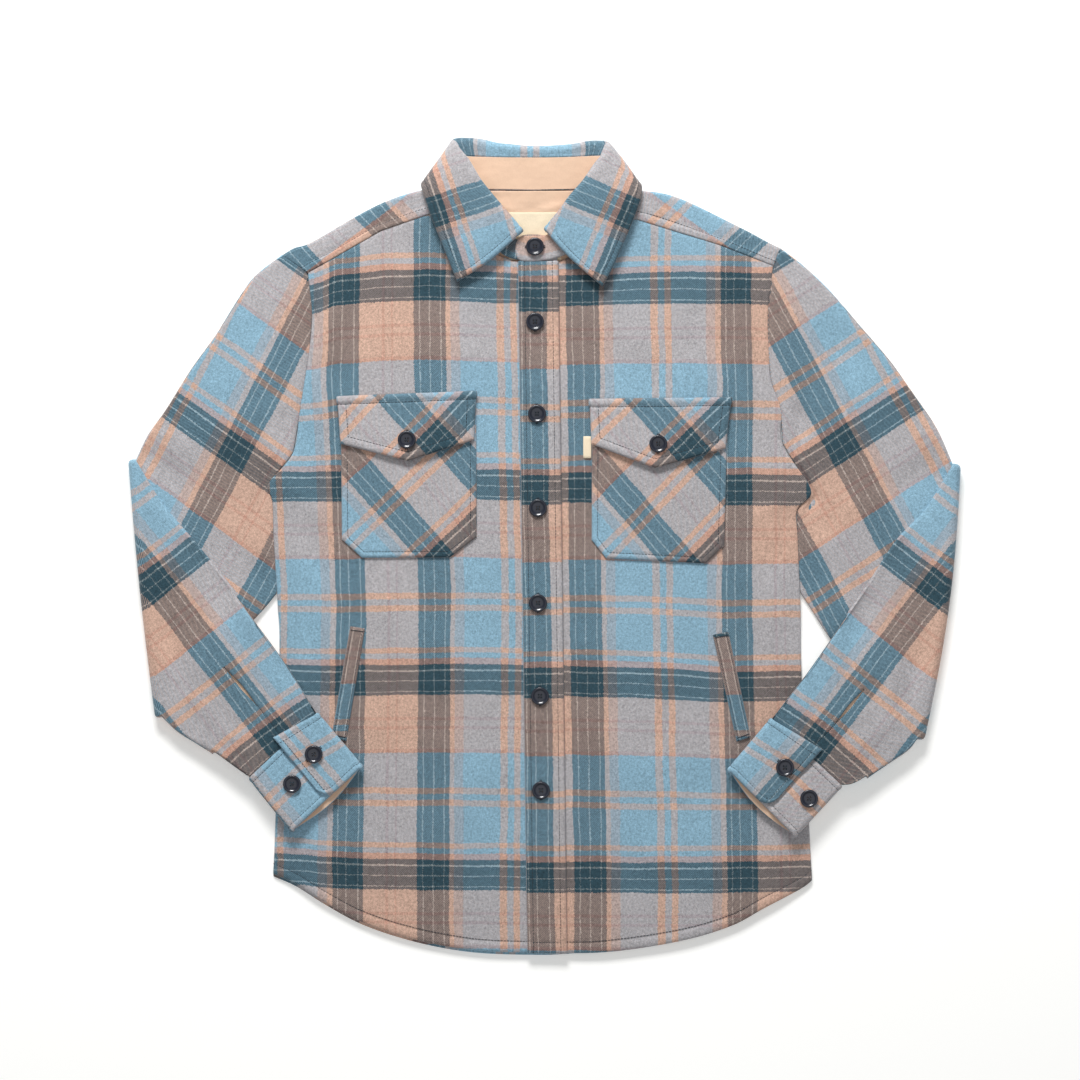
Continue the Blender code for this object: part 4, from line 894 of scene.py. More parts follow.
def make_tag():
    x, y = np.meshgrid(np.linspace(TAG[0], TAG[1], 5), np.linspace(TAG[3], TAG[2], 9))
    plan = np.stack([x, y], axis=2)
    relief = 0.12 * np.sin((y - TAG[2]) / 5.0)
    piece, _ = laid("side_tag_tape", plan, front_top(x, y) + GAP, TAPE * 1.5, relief, plan, [cream])
    finish_piece(piece, ["pocket_tag"])


make_tag()


# Hand pockets: a welt of the plaid wool over each slanted opening, its check cut to run with the
# front's. Corners from the upper left one round by the right: x, y
RIGHT_WELT = [(-192.9, -82.5), (-179.2, -84.5), (-197.5, -196.0), (-211.5, -192.5)]
LEFT_WELT = [(169.9, -90.9), (184.5, -88.1), (206.5, -192.0), (193.5, -196.5)]


def make_welt(name, corners, blue_y):
    a, b, c, d = np.array(corners)
    rows = lines_across(112.0, 3.5, NEAR_EDGE[:4], NEAR_EDGE[:4])[:, None]
    columns = lines_across(14.0, 2.4, (0.0, 0.6, 1.5), (0.0, 0.6, 1.5))[None, :, None]
    left, right = (a * (1 - rows) + d * rows)[:, None], (b * (1 - rows) + c * rows)[:, None]
    plan = left + (right - left) * columns
    from_left, from_right, from_top, from_foot = from_edges(plan)
    edge = np.minimum(np.minimum(from_left, from_right), np.minimum(from_top, from_foot))
    x, y = plan[..., 0], plan[..., 1]
    crown = np.sin(np.clip(np.minimum(from_left, from_right) / 7.0, 0.0, 1.0) * math.pi / 2)
    relief = 0.5 * crown - 0.6 * np.exp(-edge / 0.7)
    cloth = np.stack([from_left + 1.6, BLUE_WEFT + blue_y - y], axis=2)
    piece, _ = laid(name + "_cloth", plan, front_top(x, y) + GAP, WOOL, relief, cloth, [wool])
    finish_piece(piece, [name])


make_welt("right_welt", RIGHT_WELT, blue_y=-138.5)
make_welt("left_welt", LEFT_WELT, blue_y=-150.0)


# Collar stand: wool outside and tan twill inside, sewn to the neck. Its left end laps over in front
# as the buttoned tab with a rounded end.
STAND = 2.4
# From its hidden end under the tab round the neck to the tab: foot x, y, z, top x, y, z
STAND_ENDS_BEFORE = [(13.0, 284.6, 6.9, 13.0, 306.0, 7.9), (-12.0, 284.6, 6.9, -12.0, 307.0, 7.9)]
STAND_ROWS = [
    (-32.0, 286.8, 8.4, -28.5, 305.0, 10.2),
    (-46.0, 295.0, 9.9, -39.5, 323.0, 13.0),
    (-62.0, 312.0, 10.8, -53.5, 340.0, 15.0),
    (-74.5, 334.0, 11.6, -67.5, 358.5, 16.5),
    (-80.0, 348.0, 11.6, -80.0, 380.0, 15.5),
    (-80.5, 354.6, 9.8, -85.5, 386.0, 12.0),
    (-77.0, 356.2, 7.2, -87.0, 389.4, 8.4),
    (-70.0, 355.9, 5.9, -80.0, 388.6, 6.0),
    (-58.0, 355.7, 5.4, -67.0, 388.0, 5.1),
    (-38.0, 355.6, 5.4, -44.0, 387.4, 5.0),
    (-10.8, 355.1, 5.4, -10.8, 387.1, 5.0),
    (16.0, 355.5, 5.4, 22.0, 387.6, 5.0),
    (34.0, 355.9, 5.4, 42.0, 388.4, 5.1),
    (46.0, 355.9, 5.9, 54.0, 388.8, 6.0),
    (55.0, 355.2, 7.2, 60.5, 388.4, 8.4),
    (60.5, 352.6, 9.8, 59.5, 383.5, 12.0),
    (60.5, 345.0, 11.6, 54.5, 375.0, 15.5),
    (55.0, 330.0, 11.6, 44.0, 357.5, 16.5),
    (42.0, 309.0, 10.8, 31.0, 342.5, 15.0),
    (26.0, 293.0, 10.2, 17.5, 325.5, 13.4),
    (9.0, 286.0, 10.0, 5.0, 309.5, 11.2),
]
STAND_ENDS_AFTER = [(-6.0, 283.6, 9.9, -6.0, 309.0, 11.0), (-19.0, 283.4, 9.8, -19.0, 308.6, 10.9),
                    (-25.0, 285.6, 9.9, -25.0, 305.6, 10.8), (-27.3, 289.5, 10.1, -27.3, 301.5, 10.7)]


def make_stand():
    rows = refine(STAND_ENDS_BEFORE + STAND_ROWS + STAND_ENDS_AFTER, 5)
    stops = np.array([0.0, 0.02, 0.06, 0.12, 0.2, 0.35, 0.5, 0.65, 0.8, 0.88, 0.94, 0.98, 1.0])
    middle = rows[:, None, :3] * (1 - stops[None, :, None]) + rows[:, None, 3:] * stops[None, :, None]
    up = np.linalg.norm(rows[:, 3:] - rows[:, :3], axis=1)[:, None] * stops[None]
    along = np.concatenate([[0.0], np.cumsum(np.linalg.norm(np.diff(middle[:, 6], axis=0), axis=1))])[:, None]
    edge = np.minimum(up, up[:, -1:] - up)
    relief = 0.3 * np.sin(np.clip(edge / 6.0, 0.0, 1.0) * math.pi) - 0.4 * np.exp(-edge / 0.8)
    cloth = np.stack([134.0 - 0.7 * up + 0.0 * along, 36.0 + 0.0 * up + along[-1] - along], axis=2)
    piece, _ = walled("collar_stand_cloth", middle, STAND, relief, cloth, [wool, tan])
    finish_piece(piece, ["collar_stand"])


make_stand()


# Collar leaf: two plies of the plaid wool with interlining, sewn to the stand's top, rolled over it
# and spread over the fronts and under the back of the neck. Its edge is stitched round.
LEAF = 3.0
ROLL_DEPTH = 2.5                   # from the roll line to where the roll ends
LEAF_GAP = 0.9                     # between the stand's top and the leaf
# At the same stations: roll line x, y, z, middle x, y, z, free edge x, y, z, side of the roll
LEAF_ROWS = [
    (-20.8, 313.0, 15.0, -53.0, 284.5, 16.6, -86.0, 263.0, 15.0, 1.0),
    (-35.5, 328.5, 17.5, -64.0, 305.5, 19.5, -93.0, 280.5, 15.8, 1.0),
    (-49.5, 344.5, 19.5, -75.5, 324.0, 20.5, -101.5, 301.5, 16.5, 1.0),
    (-63.5, 362.5, 21.0, -88.0, 344.5, 21.5, -111.8, 327.5, 17.0, 1.0),
    (-77.5, 386.0, 20.0, -99.0, 365.5, 20.0, -118.5, 347.5, 16.0, 1.0),
    (-87.2, 400.0, 16.0, -104.5, 378.0, 15.5, -121.5, 356.0, 12.6, 0.8),
    (-89.8, 404.6, 10.0, -105.2, 383.2, 8.0, -121.6, 359.4, 7.2, 0.0),
    (-84.5, 405.3, 5.4, -101.5, 379.0, 2.2, -117.0, 357.5, 1.5, -0.8),
    (-68.5, 405.4, 4.2, -75.0, 370.0, 1.5, -88.0, 343.0, 1.5, -1.0),
    (-44.0, 400.8, 4.0, -46.0, 367.0, 1.5, -50.0, 338.0, 1.5, -1.0),
    (-10.8, 397.3, 4.0, -10.8, 366.0, 1.5, -10.8, 336.5, 1.5, -1.0),
    (22.3, 399.0, 4.0, 23.5, 367.0, 1.5, 27.0, 338.0, 1.5, -1.0),
    (42.2, 402.2, 4.2, 51.0, 370.0, 1.5, 63.0, 343.0, 1.5, -1.0),
    (57.5, 402.8, 5.4, 75.5, 379.0, 2.2, 92.0, 357.0, 1.5, -0.8),
    (63.2, 402.4, 10.0, 79.8, 382.2, 8.0, 97.0, 358.5, 7.2, 0.0),
    (60.9, 394.5, 16.0, 79.5, 374.0, 15.5, 98.0, 353.5, 12.6, 0.8),
    (52.5, 379.5, 20.0, 74.5, 360.5, 20.0, 96.0, 343.0, 16.0, 1.0),
    (40.5, 361.5, 21.0, 64.5, 341.5, 21.5, 88.0, 321.5, 17.0, 1.0),
    (27.5, 346.5, 19.5, 52.5, 322.0, 20.5, 77.8, 297.5, 16.5, 1.0),
    (14.0, 330.0, 17.5, 40.0, 302.0, 19.5, 67.5, 274.5, 15.8, 1.0),
    (1.0, 314.5, 15.0, 26.0, 287.0, 16.6, 58.5, 258.6, 15.0, 1.0),
]
LEAF_STEPS = 20                    # mesh lines to choose from between two stations, about 1 mm apart
LEAF_NEAR_END = np.array([0, 1, 2, 3, 4, 5, 6, 7, 8, 10, 12])
LEAF_END = 5                       # the line near each end that the stitching follows
ROLL_STOPS = [0.0, 0.02, 0.05, 0.085, 0.12, 0.16]
ROLL_COLUMN = 5                    # the mesh line on the roll
# Where each side's check lies straight, with the yoke check's columns
RIGHT_LEAF_CHECK = ((-85.0, 262.4), (-0.31, 0.951), 178.0, (-85.0, 262.4), (-0.95, -0.31), 10.5)
LEFT_LEAF_CHECK = ((58.9, 258.6), (-0.386, -0.923), 649.0, (58.9, 258.6), (0.923, -0.386), 13.0)
# Round the back of the neck: x of a point on the roll, and its place on the warp
ROLL_X, ROLL_WARP = (-92.5, -71.5, 42.0, 63.5), (319.0, 351.5, 472.0, 502.0)


def make_leaf():
    sections = []
    for stand, leaf in zip(np.array(STAND_ROWS), np.array(LEAF_ROWS)):
        foot, top, roll, mid, edge, side = stand[:3], stand[3:], leaf[:3], leaf[3:6], leaf[6:9], leaf[9]
        up = (top - foot) / np.linalg.norm(top - foot)
        out = (mid - roll) * (1.0, 1.0, 0.0)
        out /= np.linalg.norm(out)
        start = top + up * LEAF_GAP
        before = roll + out * ROLL_DEPTH - np.array([0.0, 0.0, side * ROLL_DEPTH])
        past = roll + out * ROLL_DEPTH + np.array([0.0, 0.0, side * ROLL_DEPTH])
        stops = np.concatenate([ROLL_STOPS, np.linspace(0.21, 0.84, 17),
                                1.0 - np.array(NEAR_EDGE[::-1]) / np.linalg.norm(edge - roll) * 0.93])
        section = curve([start, start + up * 2.0, before, roll, past, mid, edge], stops)
        section[:, 2] = np.maximum(section[:, 2], LEAF / 2)
        sections.append(section)
    last = LEAF_STEPS * (len(sections) - 1)
    picked = np.concatenate([LEAF_NEAR_END, np.arange(16, last - 14, 4), last - LEAF_NEAR_END[::-1]])
    middle = refine(sections, LEAF_STEPS)[picked]
    station = picked / LEAF_STEPS
    run = np.pad(np.cumsum(np.linalg.norm(np.diff(middle, axis=1), axis=2), axis=1), ((0, 0), (1, 0)))
    to_edge = run[:, -1:] - run
    # The check lies straight on each side's leaf; round the back of the neck it follows the roll
    right, left = checked(middle, *RIGHT_LEAF_CHECK), checked(middle, *LEFT_LEAF_CHECK)
    at_roll = slice(ROLL_COLUMN, ROLL_COLUMN + 1)
    for flat in (right, left):
        flat[:, :ROLL_COLUMN, 0] = flat[:, at_roll, 0]
        flat[:, :ROLL_COLUMN, 1] = flat[:, at_roll, 1] - (to_edge[:, :ROLL_COLUMN] - to_edge[:, at_roll])
    round_neck = np.interp(middle[:, ROLL_COLUMN, 0], ROLL_X, ROLL_WARP)
    back = np.stack([round_neck[:, None] + 0.0 * to_edge, 32.0 - to_edge], axis=2)
    on_right = smooth((7.0 - station) / 2.0)[:, None, None]
    on_left = smooth((station - 13.0) / 2.0)[:, None, None]
    cloth = on_right * right + on_left * left + (1.0 - on_right - on_left) * back
    ends = np.minimum(station, station[-1] - station)[:, None] * 21.0
    edge = np.minimum(to_edge, ends)
    relief = turned_edge(edge, NEAR_EDGE[STITCH_LINE], 0.3, 0.35)
    swell = smooth((to_edge - 8.0) / 20.0) * smooth((run - 14.0) / 10.0)
    relief += 0.35 * np.sin(station[:, None] * 1.9) * swell
    piece, face = walled("collar_leaf_cloth", middle, LEAF, relief, cloth, [wool], outward=-1.0)
    finish_piece(piece, ["collar_leaf"])
    return face


leaf_face = make_leaf()


# Sleeves: one cut each, sewn into a tube along the underarm, pressed flat and turned over at the
# elbow. The upper arm shows its front ply and the forearm its back ply, with the cuff slit in it.
TUBE = 3.45                        # half the thickness of a pressed tube
TUCK = 1.05                        # and how much less it is where the armhole tucks under the body
BEND = 4.0                         # radius of the fold at the elbow, to the tube's middle
BEND_LINES = 15
ARM_COLUMNS = 48                   # cells across a ply
ROUND_CELLS = 5                    # cells round each edge, from ply to ply
ARM_STEPS = 5                      # mesh lines from one of the upper arm's rows below to the next
# Where the sleeves meet the body: x, y
RIGHT_ARMHOLE = [(-262.0, 290.0), (-236.6, 271.4), (-232.1, 231.5), (-235.1, 192.5), (-244.1, 135.5),
                 (-251.2, 91.2), (-276.0, 60.3), (-271.6, 43.5), (-270.2, 6.5), (-266.9, -50.0)]
LEFT_ARMHOLE = [(237.6, 296.8), (230.4, 278.8), (225.1, 231.5), (226.1, 191.5), (228.3, 163.4),
                (238.3, 135.3), (240.3, 99.7), (268.9, 54.3), (254.2, 34.0), (254.8, 6.5), (257.5, -50.0)]
# Upper arm: outer edge x, y, underarm edge x, y, share of the armhole's bow, share of the tuck
RIGHT_ARM = [(-262.0, 290.0, -266.9, -50.0, 1.0, 1.0), (-288.5, 269.5, -276.0, -61.0, 0.62, 0.8),
             (-303.5, 249.5, -287.5, -73.5, 0.36, 0.5), (-328.5, 209.5, -307.0, -93.5, 0.14, 0.2),
             (-353.5, 174.5, -328.0, -114.0, 0.0, 0.0), (-378.5, 134.5, -350.0, -136.0, 0.0, 0.0),
             (-396.0, 110.0, -367.0, -152.5, 0.0, 0.0)]
LEFT_ARM = [(237.6, 296.8, 257.5, -50.0, 1.0, 1.0), (260.0, 279.5, 267.5, -65.0, 0.62, 0.8),
            (286.5, 254.5, 277.0, -80.0, 0.36, 0.5), (316.5, 219.5, 290.0, -98.5, 0.14, 0.2),
            (346.5, 184.5, 310.0, -120.0, 0.0, 0.0), (371.5, 149.5, 334.0, -145.5, 0.0, 0.0),
            (394.0, 116.0, 356.0, -169.0, 0.0, 0.0)]
RIGHT_ELBOW, RIGHT_ELBOW_BOW = (-415.5, 84.5, -388.5, -173.5), 2.0
LEFT_ELBOW, LEFT_ELBOW_BOW = (417.5, 80.0, 381.0, -196.0), 7.0
# Forearm: outer edge x, y, underarm edge x, y, height of its middle
RIGHT_FOREARM = [(-382.0, 43.0, -366.0, -187.0, 11.5), (-350.0, 5.0, -350.0, -197.0, 11.7),
                 (-318.0, -34.0, -334.0, -207.0, 12.4), (-288.0, -74.0, -319.0, -217.0, 13.4),
                 (-256.0, -118.0, -306.0, -226.0, 14.3), (-225.7, -166.8, -294.7, -233.2, 14.8)]
LEFT_FOREARM = [(382.0, 36.0, 364.0, -206.0, 11.5), (352.5, 4.5, 345.0, -219.0, 11.7),
                (322.0, -42.0, 330.0, -229.0, 12.4), (292.0, -84.0, 318.0, -237.0, 13.4),
                (261.0, -128.0, 308.0, -241.0, 14.3), (227.1, -172.2, 298.7, -241.2, 14.8)]
SAG = 5.0
# Underarm edges, from x, y, to x, y. Here and below the key is the side: -1 is the wearer's right
UNDERARM_LINES = {-1: (-287.5, -73.5, -388.5, -173.5), 1: (285.5, -93.5, 381.0, -196.0)}
# Where the check lies straight on each ply that shows, with the yoke check's columns
ARM_CHECKS = {-1: ((-307.5, 94.5), (0.89, -0.46), 15.0, (-309.2, 112.7), (-0.58, -0.8146), 0.0),
              1: ((304.5, 85.0), (0.883, 0.469), 99.0, (302.9, 120.7), (0.546, -0.837), 0.0)}
FOREARM_CHECKS = {-1: ((-377.6, -52.9), (0.788, 0.615), 99.0, (-387.2, -18.5), (0.613, -0.79), 0.0),
                  1: ((380.7, -58.0), (0.794, -0.608), 15.0, (383.3, -17.2), (-0.62, -0.785), 0.0)}
# Creases: from x, y, to x, y, height, half width. First the upper arm's, then the forearm's
RIGHT_ARM_FOLDS = [(-256.0, 130.0, -254.0, 96.0, -2.6, 10.0), (-278.0, 142.0, -274.0, 84.0, 1.4, 10.0),
                   (-276.0, 66.0, -262.0, 40.0, 0.9, 6.0), (-300.0, 238.0, -268.0, 196.0, 0.8, 14.0),
                   (-288.0, 226.0, -282.0, 208.0, -1.0, 8.0), (-404.0, 96.0, -350.0, 46.0, -1.3, 12.0),
                   (-386.0, 116.0, -340.0, 60.0, 1.0, 13.0), (-330.0, 60.0, -282.0, -20.0, 0.9, 16.0),
                   (-312.0, 10.0, -276.0, -46.0, -0.8, 12.0), (-330.0, 170.0, -296.0, 96.0, 0.8, 16.0),
                   (-262.0, 250.0, -252.0, 190.0, 0.8, 8.0)]
RIGHT_FOREARM_FOLDS = [
    (-398.0, 60.0, -372.0, -30.0, 1.1, 12.0), (-372.0, -60.0, -330.0, -130.0, 0.9, 10.0),
    (-360.0, -150.0, -300.0, -196.0, 0.8, 9.0), (-330.0, -40.0, -288.0, -110.0, -0.9, 12.0),
    (-384.0, -80.0, -366.0, -150.0, -0.9, 10.0), (-262.0, -130.0, -250.0, -176.0, 0.6, 8.0),
    (-395.0, -20.0, -352.0, 0.0, -0.8, 11.0), (-290.0, -200.0, -276.0, -214.0, 0.5, 6.0)]
LEFT_ARM_FOLDS = [(247.0, 140.0, 260.0, 106.0, -2.4, 10.0), (268.0, 152.0, 280.0, 100.0, 1.3, 10.0),
                  (242.0, 92.0, 272.0, 58.0, 2.2, 7.0), (262.0, 50.0, 270.0, 36.0, -2.8, 7.0),
                  (404.0, 92.0, 350.0, 46.0, -1.2, 12.0), (386.0, 118.0, 344.0, 58.0, 1.0, 13.0),
                  (330.0, 56.0, 276.0, -20.0, 0.9, 16.0), (306.0, 0.0, 268.0, -52.0, -0.8, 12.0),
                  (322.0, 170.0, 292.0, 100.0, 0.8, 16.0), (292.0, 240.0, 262.0, 200.0, 0.8, 13.0),
                  (252.0, 262.0, 244.0, 196.0, 0.7, 8.0)]
LEFT_FOREARM_FOLDS = [(396.0, 62.0, 376.0, -40.0, 1.0, 12.0), (397.0, 66.0, 384.0, 52.0, -1.2, 5.0),
                      (370.0, -70.0, 326.0, -140.0, 0.9, 10.0), (356.0, -170.0, 300.0, -206.0, 0.8, 9.0),
                      (330.0, -50.0, 292.0, -120.0, -0.9, 12.0), (382.0, -90.0, 362.0, -170.0, -0.9, 10.0),
                      (262.0, -136.0, 252.0, -180.0, 0.6, 8.0), (390.0, -20.0, 352.0, -4.0, -0.8, 11.0)]
DENT = 2.2                        # the deepest a ply can sink before it meets the other
SLIT_COLUMN = {-1: 22, 1: 24}     # the slit lies between this column and the next, from the outer edge
SLIT_ROWS = 19                    # and reaches this many rows up from the cuff
SLIT_OPEN = 2.2                   # how far each edge moves apart where it is widest
SLIT_CLOSE = 0.75                 # and back together over its whole length


def sag(x, y, side):
    """How far a forearm or cuff sinks past the upper arm's edge and short of the body's side."""
    ax, ay, bx, by = UNDERARM_LINES[side]
    past_arm = -side * ((x - ax) * (by - ay) - (y - ay) * (bx - ax)) / math.hypot(bx - ax, by - ay)
    return SAG * smooth((past_arm - 8.0) / 40.0) * smooth((np.abs(x) - 272.0) / 30.0)


def filled(line, count):
    """The polyline's own points, with its longest stretches halved until it has count cells."""
    points = [np.array(point, float) for point in line]
    while len(points) <= count:
        k = int(np.argmax([np.linalg.norm(b - a) for a, b in zip(points, points[1:])]))
        points.insert(k + 1, (points[k] + points[k + 1]) / 2)
    return np.array(points)


def forearm_cloth(plan, side):
    """Check of the forearm's back ply. Its weft bows towards the cuff."""
    cloth = checked(plan, *FOREARM_CHECKS[side])
    bow = 0.0010 * smooth((cloth[..., 1] - 120.0) / 100.0)
    cloth[..., 1] -= bow * (cloth[..., 0] - FOREARM_CHECKS[side][2]) ** 2
    return cloth


def make_sleeve(name, side, arm, armhole, elbow, bow, forearm, arm_folds, forearm_folds):
    across = np.linspace(0.0, 1.0, ARM_COLUMNS + 1)
    elbow_outer, elbow_under = np.array(elbow[:2]), np.array(elbow[2:])
    along_fold = (elbow_under - elbow_outer) / np.linalg.norm(elbow_under - elbow_outer)
    outward = np.array([along_fold[1], -along_fold[0]])
    outward *= side * np.sign(outward[0])

    def plan_line(outer, under, extra=0.0):
        line = np.linspace(outer, under, ARM_COLUMNS + 1) + extra
        line[0] += TUBE * (line[1] - line[0]) / np.linalg.norm(line[1] - line[0])
        line[-1] += TUBE * (line[-2] - line[-1]) / np.linalg.norm(line[-2] - line[-1])
        return line

    coarse = filled(armhole, 11)
    hole = np.stack([np.interp(across * 11, np.arange(len(coarse)), coarse[:, k]) for k in range(2)], axis=1)
    hole_bow = hole - np.linspace(hole[0], hole[-1], ARM_COLUMNS + 1)
    upper = []
    for outer_x, outer_y, under_x, under_y, bow_share, tuck_share in arm:
        plan = plan_line((outer_x, outer_y), (under_x, under_y), bow_share * hole_bow)
        half = TUBE - TUCK * tuck_share * smooth((92.0 - plan[:, 1]) / 36.0)
        upper.append(np.column_stack([plan, half, half]))
    axis_inset = (BEND + TUBE) * outward
    fold = plan_line(elbow_outer - axis_inset, elbow_under - axis_inset)
    bulge = bow * np.sin(across * math.pi)[:, None] * outward
    turned = []
    for angle in np.linspace(0.0, math.pi, BEND_LINES):
        height = TUBE + BEND * (1.0 - math.cos(angle))
        turned.append(np.column_stack([fold + outward * BEND * math.sin(angle) + bulge,
                                       np.full(len(fold), height), np.full(len(fold), TUBE)]))
    lower = []
    for outer_x, outer_y, under_x, under_y, height in forearm:
        plan = plan_line((outer_x, outer_y), (under_x, under_y))
        height = height - sag(plan[:, 0], plan[:, 1], side)
        lower.append(np.column_stack([plan, height, np.full(len(plan), TUBE)]))
    upper = refine(upper + [turned[0]], ARM_STEPS)
    lower = refine([turned[-1]] + lower, ARM_STEPS + 2)
    lines = np.concatenate([upper, np.array(turned[1:-1]), lower])
    normals = np.zeros((len(lines), 3))
    normals[:len(upper), 2], normals[-len(lower):, 2] = 1.0, -1.0
    for k, angle in enumerate(np.linspace(0.0, math.pi, BEND_LINES)[1:-1]):
        normals[len(upper) + k] = (*(-outward * math.sin(angle)), math.cos(angle))

    turn = np.linspace(0.0, math.pi, ROUND_CELLS + 1)[1:-1, None]
    front = slice(0, ARM_COLUMNS + 1)
    back = slice(ARM_COLUMNS + ROUND_CELLS, 2 * ARM_COLUMNS + ROUND_CELLS + 1)

    def ring(line, normal, depth):
        centres, radius = line[:, :3], (line[:, 3] - depth)[:, None]

        def end(k, neighbour, sign):
            direction = (centres[k] - centres[neighbour]) / np.linalg.norm(centres[k] - centres[neighbour])
            return centres[k] + radius[k] * (direction * np.sin(turn) + sign * normal * np.cos(turn))

        plies = centres + normal * radius, (centres - normal * radius)[::-1]
        return np.concatenate([plies[0], end(-1, -2, 1), plies[1], end(0, 1, -1)])

    outer = np.array([ring(line, normal, 0.0) for line, normal in zip(lines, normals)])
    inner = np.array([ring(line, normal, WOOL) for line, normal in zip(lines, normals)])
    # Creases stand on the plies that show, and dent the hidden ones a little
    count, order = len(lines), np.arange(len(lines))
    is_upper = (order < len(upper))[:, None]
    fades = smooth((order - 1.0) / 3.0) * smooth((count - 2.0 - order) / 4.0)
    near_fold = smooth(np.abs(order - len(upper) - 6.0) / 9.0 - 0.6)
    for part in (front, back):
        x, y = outer[:, part, 0], outer[:, part, 1]
        relief = np.where(is_upper, creases(x, y, arm_folds), creases(x, y, forearm_folds))
        seen = is_upper if part is front else ~is_upper
        rims = smooth(across / 0.06) * smooth((1.0 - across) / 0.06)
        relief = 1.5 * relief + 0.6 * np.sin(x / 17.0 + y / 29.0) * np.sin(y / 23.0 - x / 41.0)
        relief = np.where(seen, relief, -0.35 * np.abs(relief)) * (fades * near_fold)[:, None] * rims
        way = normals[:, None] * (1.0 if part is front else -1.0)
        outer[:, part] += way * relief[..., None]
        inner[:, part] += way * np.clip(relief + 0.6, -DENT, 0.0)[..., None]

    # Place on the cloth: straight over each ply that shows, by arc round the fold and the edges
    steps = np.linalg.norm(np.diff(lines[:, :, :3], axis=0), axis=2)
    run = np.pad(np.cumsum(steps, axis=0), ((1, 0), (0, 0)))
    widths = np.linalg.norm(lines[:, -1, :2] - lines[:, 0, :2], axis=1)

    def carry_on(ply, edge, ahead, behind, hidden):
        """Carries a ply's check on past the last line that shows, straight down the cloth."""
        across_way = (ply[edge, -1] - ply[edge, 0]) / np.linalg.norm(ply[edge, -1] - ply[edge, 0])
        down_way = np.array([-across_way[1], across_way[0]])
        down_way *= np.sign(down_way @ (ply[ahead, 10] - ply[behind, 10]))
        middle = ply[edge].mean(axis=0)
        for k in hidden:
            spread = (ply[edge] - middle) * widths[k] / widths[edge]
            ply[k] = middle + spread + down_way * (run[k] - run[edge])[:, None]

    def way_out(ply, end, before):
        way = ply[:, end] - ply[:, before]
        return way / np.linalg.norm(way, axis=1)[:, None]

    last, first = len(upper) - 1, count - len(lower)
    on_front, on_back = np.empty((count, ARM_COLUMNS + 1, 2)), np.empty((count, ARM_COLUMNS + 1, 2))
    on_front[:len(upper)] = checked(lines[:len(upper)], *ARM_CHECKS[side])
    carry_on(on_front, last, last, last - 3, range(last + 1, count))
    on_back[first:] = forearm_cloth(lines[first:], side)
    carry_on(on_back, first, first + 3, first, range(first))
    cells = np.linalg.norm(outer - np.roll(outer, 1, axis=1), axis=2)[..., None]
    cloth = np.empty((*outer.shape[:2], 2))
    cloth[:, front], cloth[:, back] = on_front, on_back[:, ::-1]
    for k in range(ROUND_CELLS - 1):
        column = ARM_COLUMNS + 1 + k
        cloth[:, column] = cloth[:, column - 1] + way_out(on_front, -1, -3) * cells[:, column]
        column += ARM_COLUMNS + ROUND_CELLS
        cloth[:, column] = cloth[:, column - 1] + way_out(on_back, 0, 2) * cells[:, column]

    slit = back.start + ARM_COLUMNS - SLIT_COLUMN[side] - 1
    keep = np.ones((count - 1, outer.shape[1]), bool)
    keep[-SLIT_ROWS:, slit] = False
    along_slit = np.linspace(0.0, 1.0, SLIT_ROWS + 1)
    apart = SLIT_OPEN * np.exp(-((along_slit - 0.28) / 0.2) ** 2)
    for grid in (outer, inner):
        edges = grid[-SLIT_ROWS - 1:, slit:slit + 2]
        gap_way = edges[:, 1] - edges[:, 0]
        gap_way = gap_way / np.linalg.norm(gap_way, axis=1)[:, None] * (apart - SLIT_CLOSE)[:, None]
        edges[:, 0] -= gap_way
        edges[:, 1] += gap_way
    # Two seam cells take the neighbour ply's check where the plies meet
    other, other_cloth = np.zeros((count - 1, outer.shape[1]), bool), cloth.copy()
    other[:, [back.start - 1, -1]] = True
    other_cloth[:, back.start - 1] = on_back[:, -1] + way_out(on_back, -1, -3) * cells[:, back.start]
    other_cloth[:, -1] = on_front[:, 0] + way_out(on_front, 0, 2) * cells[:, 0]
    piece = shell(name + "_cloth", outer, inner, cloth, [wool], ring=True, keep=keep, other=other,
                  other_cloth=other_cloth)
    finish_piece(piece, [name])
    return inner, slit


right_inner, right_slit = make_sleeve("right_sleeve", -1, RIGHT_ARM, RIGHT_ARMHOLE, RIGHT_ELBOW,
                                      RIGHT_ELBOW_BOW, RIGHT_FOREARM, RIGHT_ARM_FOLDS, RIGHT_FOREARM_FOLDS)
left_inner, left_slit = make_sleeve("left_sleeve", 1, LEFT_ARM, LEFT_ARMHOLE, LEFT_ELBOW,
                                    LEFT_ELBOW_BOW, LEFT_FOREARM, LEFT_ARM_FOLDS, LEFT_FOREARM_FOLDS)


# Slit facings: a strip of tan twill inside each sleeve behind its slit, from its top to the cuff. It
# shows where the slit stands open.
FACING = 0.7
FACING_DROP = 0.75        # below the sleeve's inner side


def make_slit_facing(name, inner, slit):
    rows = slice(-SLIT_ROWS - 1, None)
    left, right = inner[rows, slit - 2], inner[rows, slit + 3]
    plan = left[:, None] + (right - left)[:, None] * np.linspace(0.0, 1.0, 7)[None, :, None]
    plan[..., 2] -= FACING_DROP
    piece, _ = walled(name, plan, FACING, np.zeros(plan.shape[:2]), plan[..., :2], [tan], outward=-1.0)
    finish_piece(piece, [])


make_slit_facing("right_slit_facing", right_inner, right_slit)
make_slit_facing("left_slit_facing", left_inner, left_slit)


